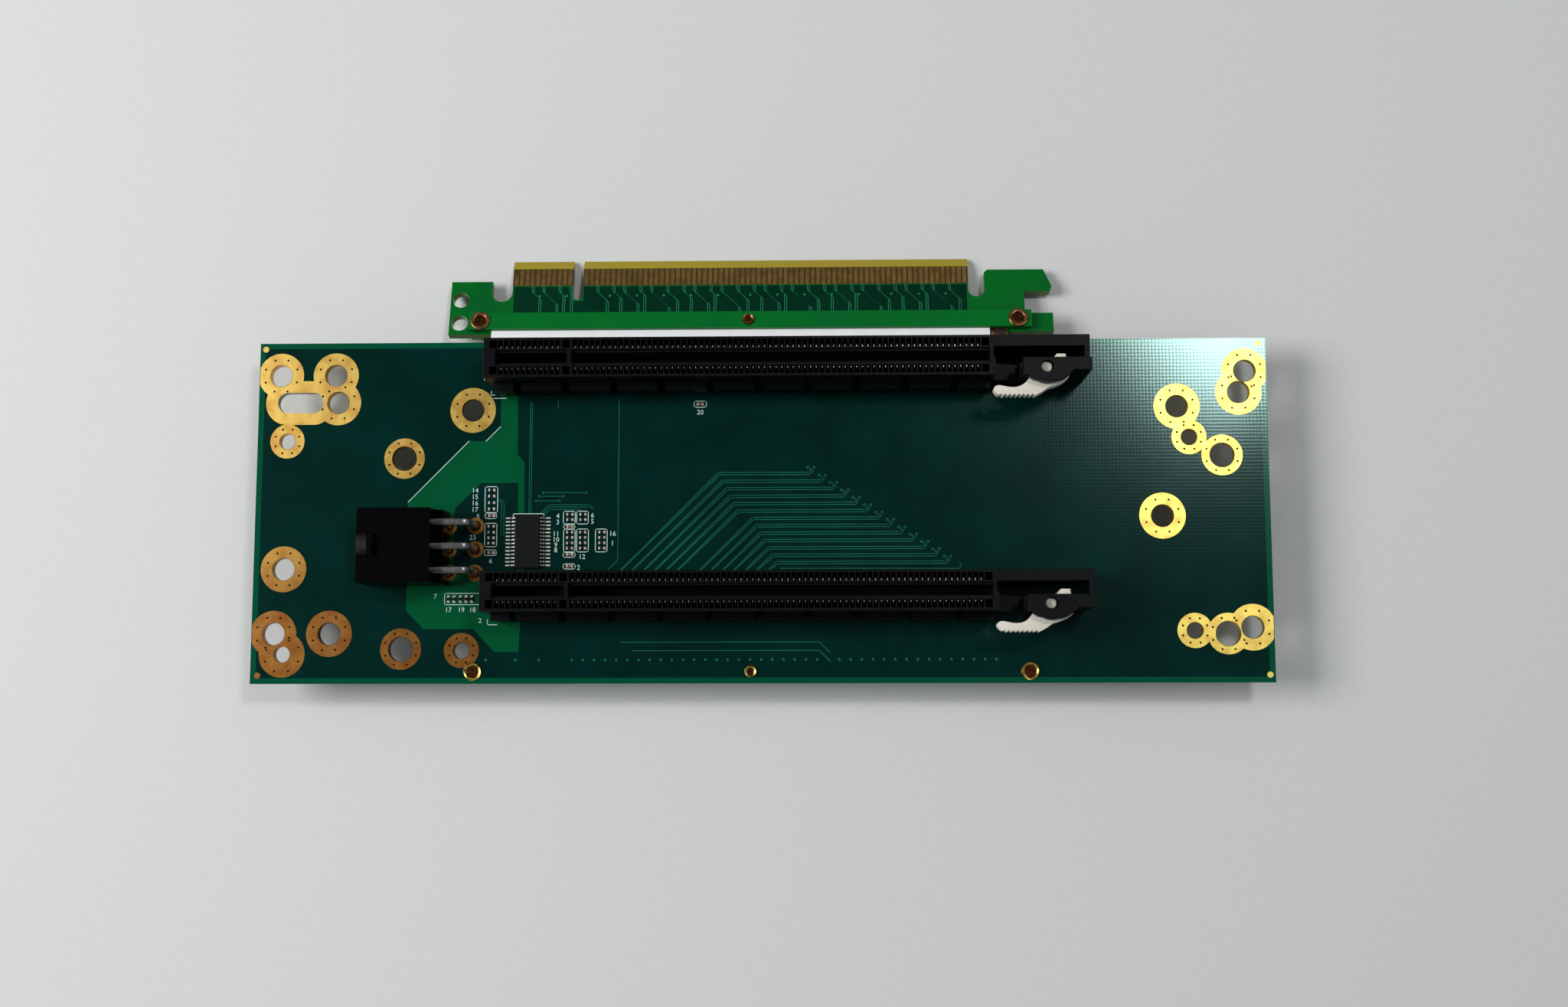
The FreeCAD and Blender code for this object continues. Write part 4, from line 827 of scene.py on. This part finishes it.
# Proud panels between the recesses of the front face: first panel's ends, pitch and how many, in mm
panelLook = {
    "endsMm": (-5.65, 1.45),
    "pitchMm": 8.55,
    "count": 11,
    "reachMm": (-1.9, 85.4),
    "proudMm": 1.35,
    "heightsMm": (0.6, 6.0),
    "edgeMm": 0.15,
}


def makePanels(slotName):
    face = slotRows[slotName] - housingLook["bodyHalfMm"] * mm
    low, high = [boardTop + z * mm for z in panelLook["heightsMm"]]
    bm = bmesh.new()
    for i in range(panelLook["count"]):
        ends = [end + i * panelLook["pitchMm"] for end in panelLook["endsMm"]]
        left, right = [firstContactX + min(max(end, panelLook["reachMm"][0]), panelLook["reachMm"][1]) * mm
                       for end in ends]
        addBlock(bm, (left, face - panelLook["proudMm"] * mm, low), (right, face + 0.05 * mm, high))
    front = [edge for edge in bm.edges if max(v.co.y for v in edge.verts) < face - 0.5 * mm]
    rounded(bm, front, panelLook["edgeMm"], 2)
    newPiece(slotName + "_front_panels", bm, [slotNylon])


for slotName in slotRows:
    makeHousing(slotName)
    makePanels(slotName)
    makeContacts(slotName, "back", 1)
    makeContacts(slotName, "front", -1)
print("slots made")

# Latch lever: outline about its pivot in mm, round or sharp at each point
leverLook = {
    "edgeMm": 0.16,
    "outline": [
        (-1.5, 1.2, "AUTO"), (1.2, 1.7, "VECTOR"), (1.9, 2.5, "VECTOR"), (3.4, 2.5, "VECTOR"), (3.6, 1.2, "AUTO"),
        (4.0, -1.3, "AUTO"), (3.1, -2.3, "AUTO"), (1.75, -3.0, "AUTO"), (0.45, -3.4, "AUTO"), (-0.75, -4.2, "AUTO"),
    ],
    "teeth": 8,
    "toothMm": 0.78,
    "toothDepthMm": 0.34,
    "pinMm": 0.95,
    "pinEdgeMm": 0.2,
    "pinSunkMm": 0.7,
    "thickMm": 2.8,
    "gripMm": (-2.0, -4.85),
    "tip": [
        (-8.0, -4.65, "AUTO"), (-8.85, -4.1, "AUTO"), (-9.05, -3.55, "AUTO"), (-8.45, -3.0, "AUTO"),
        (-7.3, -3.1, "AUTO"), (-6.0, -3.3, "AUTO"), (-4.7, -3.15, "AUTO"), (-3.6, -2.5, "AUTO"),
        (-2.6, -1.1, "AUTO"), (-2.2, 0.4, "AUTO"),
    ],
}


def makeLever(slotName):
    node = slotName + "_latch_lever"
    low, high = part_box(node)
    joint = (firstContactX + housingLook["pivotMm"][0] * mm, slotRows[slotName] + housingLook["pivotMm"][1] * mm)
    plateTop = low[2] + leverLook["thickMm"] * mm
    gripX, gripY = leverLook["gripMm"]
    grip = []
    for i in range(leverLook["teeth"]):
        grip.append((gripX - i * leverLook["toothMm"], gripY, "VECTOR"))
        grip.append((gripX - (i + 0.5) * leverLook["toothMm"], gripY + leverLook["toothDepthMm"], "VECTOR"))
    outline = leverLook["outline"] + grip + leverLook["tip"]
    curve = bpy.data.curves.new("lever", "CURVE")
    curve.dimensions = "2D"
    curve.fill_mode = "BOTH"
    edge = leverLook["edgeMm"] * mm
    curve.extrude = (plateTop - low[2]) / 2 - edge
    curve.bevel_depth = edge
    curve.bevel_resolution = 2
    curve.offset = -edge
    line = curve.splines.new("BEZIER")
    line.bezier_points.add(len(outline) - 1)
    line.use_cyclic_u = True
    line.resolution_u = 5
    for point, (x, y, handle) in zip(line.bezier_points, outline):
        point.co = (x * mm, y * mm, 0.0)
        point.handle_left_type = handle
        point.handle_right_type = handle
    holder = newObject("lever", curve)
    plate = keptMesh(holder)
    bpy.data.objects.remove(holder)
    bm = bmesh.new()
    addCopy(bm, plate, (*joint, (plateTop + low[2]) / 2))
    bmesh.ops.remove_doubles(bm, verts=bm.verts[:], dist=0.002 * mm)
    bmesh.ops.recalc_face_normals(bm, faces=bm.faces[:])
    pinTop = high[2] - leverLook["pinSunkMm"] * mm
    verts = addDisc(bm, joint, leverLook["pinMm"] * mm, plateTop - 0.5 * mm, pinTop, 32)
    crown = [edge for edge in edgesOf(verts) if min(v.co.z for v in edge.verts) > pinTop - 0.01 * mm]
    rounded(bm, crown, leverLook["pinEdgeMm"], 3)
    piece = newPiece(slotName + "_moulded_lever", bm, [leverNylon], slotName + "_latch", node)
    shadeSmooth(piece, 40)


for slotName in slotRows:
    makeLever(slotName)
print("levers made")

# Power header's pins: out at the back, and down through the board in a soft bend
pinLook = {
    "widthMm": 1.1,
    "bendMm": 1.5,
    "columnsMm": (-19.7, -15.5, -11.3),
    "rows": {"upper": (17.0, -50.7), "lower": (12.8, -55.5)},     # level and upright's place, in mm
    "tipMm": -67.0,
    "edgeMm": 0.12,
    "padMm": 3.0,
    # Solder cone as radius and height, and how high it stands above and below the board
    "coneMm": [(0.0, 0.0), (1.0, 0.0), (0.95, 0.06), (0.85, 0.2), (0.72, 0.45)],
    "conesMm": (0.75, 1.2),
    "headerEdgeMm": 0.3,
    "lockMm": (1.95, 9.0),               # the header's lock nose: half width, and foot above the board
}


def makePins(row):
    level, upright = pinLook["rows"][row]
    node = "power_pins_" + row
    bm = bmesh.new()
    solder = bmesh.new()
    wide = pinLook["widthMm"] * mm
    centreX = upright * mm
    upper = level * mm + wide / 2
    section = [(pinLook["tipMm"] * mm, upper), (centreX + wide / 2, upper),
               (centreX + wide / 2, boardBottom - 1.5 * mm)]
    unit = bmesh.new()
    addBand(unit, section, wide, wide, pinLook["bendMm"] * mm, 6)
    rounded(unit, sharpEdges(unit, 60), pinLook["edgeMm"], 2)
    pin = unitMesh("pin", unit)
    pad = pinLook["padMm"] / 2 * mm
    above, below = inMetres(pinLook["conesMm"])
    for y in pinLook["columnsMm"]:
        addCopy(bm, pin, (0.0, y * mm, 0.0))
        spot = (centreX, y * mm)
        for low, high in bothFaces(0.05 * mm):
            addDisc(solder, spot, pad, low, high, 36, 1)
        for foot, turn, tall in ((boardTop, 1, above), (boardBottom, -1, below)):
            profile = [(r * mm, turn * z * mm) for r, z in pinLook["coneMm"]]
            addTurned(solder, profile + [(0.6 * mm, turn * tall), (0.0, turn * tall)], (*spot, foot), 24)
    bmesh.ops.remove_doubles(solder, verts=solder.verts[:], dist=0.001 * mm)
    piece = newPiece("bent_pins_" + row, bm, [tinMetal], replaced=node)
    shadeSmooth(piece, 50)
    shadeSmooth(newPiece("pin_solder_" + row, solder, [stainedSolder, shadedPadGold]), 50)


for row in pinLook["rows"]:
    makePins(row)
header = cadCopy("power_header_housing")
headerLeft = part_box("power_header_housing")[0][0]
lockHalf, lockFoot = inMetres(pinLook["lockMm"])
middleY = pinLook["columnsMm"][1] * mm
rounded(header, [edge for edge in sharpEdges(header, 40) if edge.calc_length() > 1.5 * mm
                 and max(v.co.x for v in edge.verts) > headerLeft + 0.01 * mm
                 and min(v.co.z for v in edge.verts) > boardTop + 0.01 * mm
                 and all(abs(v.co.y - middleY) > lockHalf or v.co.z > boardTop + lockFoot for v in edge.verts)],
        pinLook["headerEdgeMm"], 2)
newPiece("moulded_header", header, [headerNylon], replaced="power_header_housing")
print("power header made")

# Chip: moulded body with its pin-one dimple, gull-wing leads and tinned pads
chipLook = {
    "centreMm": (-41.3, -14.15),
    "edgeMm": 0.12,
    "leadsASide": 14,
    "pitchMm": 0.65,
    "leadMm": 0.26,
    "sectionMm": [(3.2, 0.14), (2.72, 0.14), (2.5, 0.58), (2.15, 0.58)],
    "padMm": (2.55, 4.0, 0.25),
    "dimpleMm": (1.45, -4.15, 0.28),
}


def makeChip():
    x, y = inMetres(chipLook["centreMm"])
    body = cadCopy("chip_package")
    rounded(body, sharpEdges(body, 40), chipLook["edgeMm"], 2)
    piece = newPiece("moulded_chip", body, [chipEpoxy], replaced="chip_package")
    dimpleX, dimpleY, radius = inMetres(chipLook["dimpleMm"])
    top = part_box("chip_package")[1][2]
    drill = bmesh.new()
    addDisc(drill, (x + dimpleX, y + dimpleY), radius, top - 0.08 * mm, top + 0.5 * mm, 20)
    cutBy(piece, drill)
    strip = bmesh.new()
    addBand(strip, [(a * mm, boardTop + b * mm) for a, b in chipLook["sectionMm"]],
            chipLook["leadMm"] * mm, 0.13 * mm, 0.12 * mm, 2)
    lead = unitMesh("lead", strip)
    near, far, wide = inMetres(chipLook["padMm"])
    strip = bmesh.new()
    addBlock(strip, (near, -wide / 2, boardTop), (far, wide / 2, boardTop + 0.04 * mm))
    pad = unitMesh("pad", strip)
    bm = bmesh.new()
    pads = bmesh.new()
    count = chipLook["leadsASide"]
    for i in range(count):
        leadY = y + (i - (count - 1) / 2) * chipLook["pitchMm"] * mm
        for turn in (0.0, math.pi):
            addCopy(bm, lead, (x, leadY, 0.0), turn)
            addCopy(pads, pad, (x, leadY, 0.0), turn)
    newPiece("gull_wing_leads", bm, [tinMetal], replaced="chip_leads")
    newPiece("chip_pads", pads, [solderMetal])


makeChip()

# Small parts as columns: x, then each y, in mm; a glazed or fired body between two soldered ends
smallParts = {
    "chip_resistors": {
        "piece": "soldered_resistors", "material": resistorGlaze, "slot": "resistor_ceramic",
        "columns": [(-47.9, [-4.85, -5.95, -7.15, -8.25, -11.4, -12.45, -13.45, -14.4]),
                    (-33.83, [-9.3, -10.25, -12.5, -13.45, -14.4, -15.35]),
                    (-31.5, [-9.3, -10.25, -12.5, -13.45, -14.4, -15.35]),
                    (-28.07, [-12.5, -13.45, -14.4, -15.35])],
        "upright": (-24.35, [-55.3, -54.3, -53.15, -52.15, -51.15])},
    "chip_capacitors": {
        "piece": "soldered_capacitors", "material": capacitorClay, "slot": "capacitor_ceramic",
        "columns": [(-47.85, [-9.45, -16.1]), (-33.8, [-11.5, -16.45, -18.55]), (-10.65, [10.5])],
        "upright": (0.0, [])},
}
partMm = (1.0, 0.5, 0.35)
capMm = 0.24
partPadMm = (0.3, 0.64)      # each pad's ends from the part's middle


def makeSmallParts(node, look):
    long, wide, high = inMetres(partMm)
    unit = bmesh.new()
    addBlock(unit, (-long / 2 + 0.16 * mm, -wide / 2 + 0.01 * mm, boardTop + 0.02 * mm),
             (long / 2 - 0.16 * mm, wide / 2 - 0.01 * mm, boardTop + high - 0.01 * mm))
    for side in (-1, 1):
        ends = sorted((side * long / 2, side * (long / 2 - capMm * mm)))
        addBlock(unit, (ends[0], -wide / 2, boardTop), (ends[1], wide / 2, boardTop + high), 1)
        pad = sorted(side * v * mm for v in partPadMm)
        addBlock(unit, (pad[0], -wide / 2, boardTop), (pad[1], wide / 2, boardTop + 0.05 * mm), 1)
    rounded(unit, [edge for edge in unit.edges if min(v.co.z for v in edge.verts) > boardTop + 0.06 * mm], 0.04, 1)
    part = unitMesh("part", unit)
    part.materials.append(look["material"])
    bm = bmesh.new()
    for x, places in look["columns"]:
        for y in places:
            addCopy(bm, part, (x * mm, y * mm, 0.0))
    y, places = look["upright"]
    for x in places:
        addCopy(bm, part, (x * mm, y * mm, 0.0), math.pi / 2)
    newPiece(look["piece"], bm, [look["material"], solderMetal], replaced=node)


for node, look in smallParts.items():
    makeSmallParts(node, look)
print("chip and small parts made")

# Plug card, in its own frame: x across the tongue, y forward to the tip at 0, z off its top face
cardLook = {
    "fingerMm": (0.7, 1.75, 5.25),
    "firstFingerMm": 2.9,
    "firstPlaceMm": 0.65,
    "keyMm": (11.1, 13.2, -8.4),         # the notch's left and right, and where the plane ends behind it
    "planeMm": (0.3, 84.0, -11.4, -5.45),
    "lineMm": 0.12,
    "bottom": -1.6 * mm,
    "pairs": 30,
    "contactsAPair": 2.6,
    "viaMm": (0.9, -7.4, 0.22),          # left of every other pair: how far, its y and its radius
    "pairGapMm": 0.38,
    "runMm": (-5.3, -6.4, -11.3),        # each trace's start at its finger, its bend and its end
    "bendsMm": (1.4, 2.6, 0.8, 3.4, 1.9),
}


def makeCardDetail():
    wide, start, end = cardLook["fingerMm"]
    fingers = bmesh.new()
    for number, step in enumerate(contactSteps):
        x = (cardLook["firstPlaceMm"] + step) * mm
        for top, base in ((True, 0.0), (False, cardLook["bottom"] - 0.05 * mm)):
            tip = cardLook["firstFingerMm"] if number == 0 and top else start
            addBlock(fingers, (x - wide / 2 * mm, -end * mm, base), (x + wide / 2 * mm, -tip * mm, base + 0.05 * mm))
    bmesh.ops.transform(fingers, matrix=cardMatrix, verts=fingers.verts[:])
    newPiece("edge_fingers", fingers, [fingerGold], replaced="edge_fingers_top")

    lines = bmesh.new()
    left, right, back, front = cardLook["planeMm"]
    keyLeft, keyRight, keyFront = cardLook["keyMm"]
    for low, high in ((0.0, 0.01 * mm), (cardLook["bottom"] - 0.01 * mm, cardLook["bottom"])):
        for a, b, end in ((left, keyLeft, front), (keyRight, right, front), (keyLeft, keyRight, keyFront)):
            addBlock(lines, (a * mm, back * mm, low), (b * mm, end * mm, high), 0)
    start, knee, end = cardLook["runMm"]
    aside, viaY, viaRadius = cardLook["viaMm"]
    for i in range(cardLook["pairs"]):
        step = contactSteps[3 + int(i * cardLook["contactsAPair"])]
        bend = cardLook["bendsMm"][i % len(cardLook["bendsMm"])]
        if abs(step - 11.5) < bend + 1.0:
            bend = 0.3
        for shift in (0.0, cardLook["pairGapMm"]):
            x = cardLook["firstPlaceMm"] + step + shift
            addPath(lines, [(x, start), (x, knee - shift), (x + bend, knee - bend - shift), (x + bend, end)],
                    cardLook["lineMm"], 0.0, 0.03 * mm, materialIndex=1)
        if i % 2:
            addDisc(lines, ((x - aside) * mm, viaY * mm), viaRadius * mm, 0.0, 0.035 * mm, 10, 1)
    bmesh.ops.transform(lines, matrix=cardMatrix, verts=lines.verts[:])
    newPiece("card_traces", lines, [cardPlaneMask, cardTraceMask])


makeCardDetail()

# Eyelets: turned sections in mm as radius and height over the seat, the middle one smaller
eyeletLook = {
    "card": {"flange": 1.85, "depth": 4.4, "ragged": 0.0, "material": bronzeMetal, "slot": "eyelet_bronze",
             "first": (-5.3, -13.1, 1.4), "matrix": cardMatrix},
    "board": {"flange": 1.7, "depth": 3.7, "ragged": 0.08, "material": giltMetal, "slot": "eyelet_gold",
              "first": (-50.8, -37.2, 10.0), "matrix": Matrix.Identity(4)},
}
eyeletPitch = 49.2
eyeletWall = 0.28
eyeletBore = 1.0
middleEyelet = (0.55, 1.15)      # radius of the bore and of the flange


def makeEyelet(kind, number, where):
    look = eyeletLook[kind]
    bore, flange = middleEyelet if where == "middle" else (eyeletBore, look["flange"])
    depth = look["depth"]
    middle = (bore + eyeletWall + flange) / 2
    profile = [(bore, -depth), (bore, 0.1), (bore + 0.12, 0.25), (middle, 0.34), (flange - 0.1, 0.26),
               (flange, 0.12), (flange - 0.04, 0.0), (bore + eyeletWall, 0.0), (bore + eyeletWall, -depth)]
    bm = bmesh.new()
    verts = addTurned(bm, [(r * mm, z * mm) for r, z in profile], (0.0, 0.0, 0.0), 40)
    for vertex in verts:
        out = math.hypot(vertex.co.x, vertex.co.y)
        if out > (flange - 0.15) * mm:
            angle = math.atan2(vertex.co.y, vertex.co.x)
            wave = math.sin(5 * angle + 1.0) + 0.6 * math.sin(11 * angle)
            pull = 1.0 - look["ragged"] * (0.5 + 0.5 * wave / 1.6)
            vertex.co.x *= pull
            vertex.co.y *= pull
    # Dark discs across the bore near its top and its foot: painted shadow
    for level in (-depth + 0.05, 0.02):
        addDisc(bm, (0.0, 0.0), bore * mm, (level - 0.02) * mm, (level + 0.02) * mm, 24, 1)
    centre = Vector(look["first"]) + Vector((number * eyeletPitch, 0.0, 0.0))
    bmesh.ops.transform(bm, matrix=look["matrix"] @ Matrix.Translation(centre * mm), verts=bm.verts[:])
    piece = newPiece("turned_%s_eyelet_%s" % (kind, where), bm, [look["material"], boreShadow],
                     replaced="%s_eyelet_%s" % (kind, where))
    shadeSmooth(piece, 50)


for number, where in enumerate(("left", "middle", "right")):
    for kind in eyeletLook:
        makeEyelet(kind, number, where)
print("card and eyelets made")

# Camera at the photo's viewpoint: straight above, tipped a little, about 32 cm up
cameraLook = {
    "placeMm": (11.652, -43.651, 322.308),
    "turns": (-0.1153127, -0.0232124, 0.0039574),
    "focalPixels": 2307.2,
    "imagePixels": 2048,
    "sensorMm": 36.0,
}
camera = bpy.data.cameras.new("camera")
camera.sensor_fit = "HORIZONTAL"
camera.sensor_width = cameraLook["sensorMm"]
camera.lens = cameraLook["focalPixels"] * cameraLook["sensorMm"] / cameraLook["imagePixels"]
camera.clip_start = 0.01
cameraHolder = newObject("camera", camera)
worldToCamera = Euler(cameraLook["turns"], "XYZ").to_matrix()
place = Matrix.Translation(Vector(cameraLook["placeMm"]) * mm)
cameraHolder.matrix_world = place @ worldToCamera.transposed().to_4x4()
bpy.context.scene.camera = cameraHolder

# Pale matt table
floorMaterial, floorTree, floorPlace = newMaterial("pale_matt_table")
tooth = addNode(floorTree, "TexNoise", {"Vector": floorPlace, "Scale": 1 / (1.5 * mm), "Detail": 3.0})
paper = addNode(floorTree, "Mix", {0: tooth, 6: "d2d3d0", 7: "d8d9d6"}, data_type="RGBA")
addShader(floorTree, {"Base Color": paper, "Roughness": 0.85})
floorMesh = bmesh.new()
bmesh.ops.create_grid(floorMesh, x_segments=1, y_segments=1, size=3.0)
table = newObject("table", unitMesh("table", floorMesh))
table.data.materials.append(floorMaterial)
table.location = (0.0, 0.0, -0.01 * mm)

lampLook = {
    # place and aim in m, width and depth in m, power in W
    "key": ((-0.62, 0.06, 0.55), (0.0, 0.0, 0.0), (0.35, 0.35), 5.3),
    "window": ((0.25, 0.2, 0.72), (0.05, 0.0, 0.0), (0.1, 0.11), 1.35),
}
for name, (spot, target, (width, depth), power) in lampLook.items():
    lamp = bpy.data.lights.new(name, "AREA")
    lamp.shape = "RECTANGLE"
    lamp.size = width
    lamp.size_y = depth
    lamp.energy = power
    holder = newObject(name, lamp)
    aim = (Vector(target) - Vector(spot)).to_track_quat("-Z", "Y")
    holder.matrix_world = Matrix.Translation(spot) @ aim.to_matrix().to_4x4()

# A pale room, dark straight overhead where the photographer stands
world = bpy.data.worlds.new("studio")
world.use_nodes = True
sky = world.node_tree
upward = addNode(sky, "TexCoord").outputs["Generated"]
height = addNode(sky, "SeparateXYZ", {0: upward}).outputs[2]
fade = addNode(sky, "MapRange", {0: height, 1: 0.8, 2: 0.95, 3: 0.3, 4: 0.05})
sky.nodes["Background"].inputs["Color"].default_value = linear("eef6ff")
sky.links.new(fade.outputs[0], sky.nodes["Background"].inputs["Strength"])
bpy.context.scene.world = world
bpy.context.scene.view_settings.view_transform = "Standard"

print("scene made")
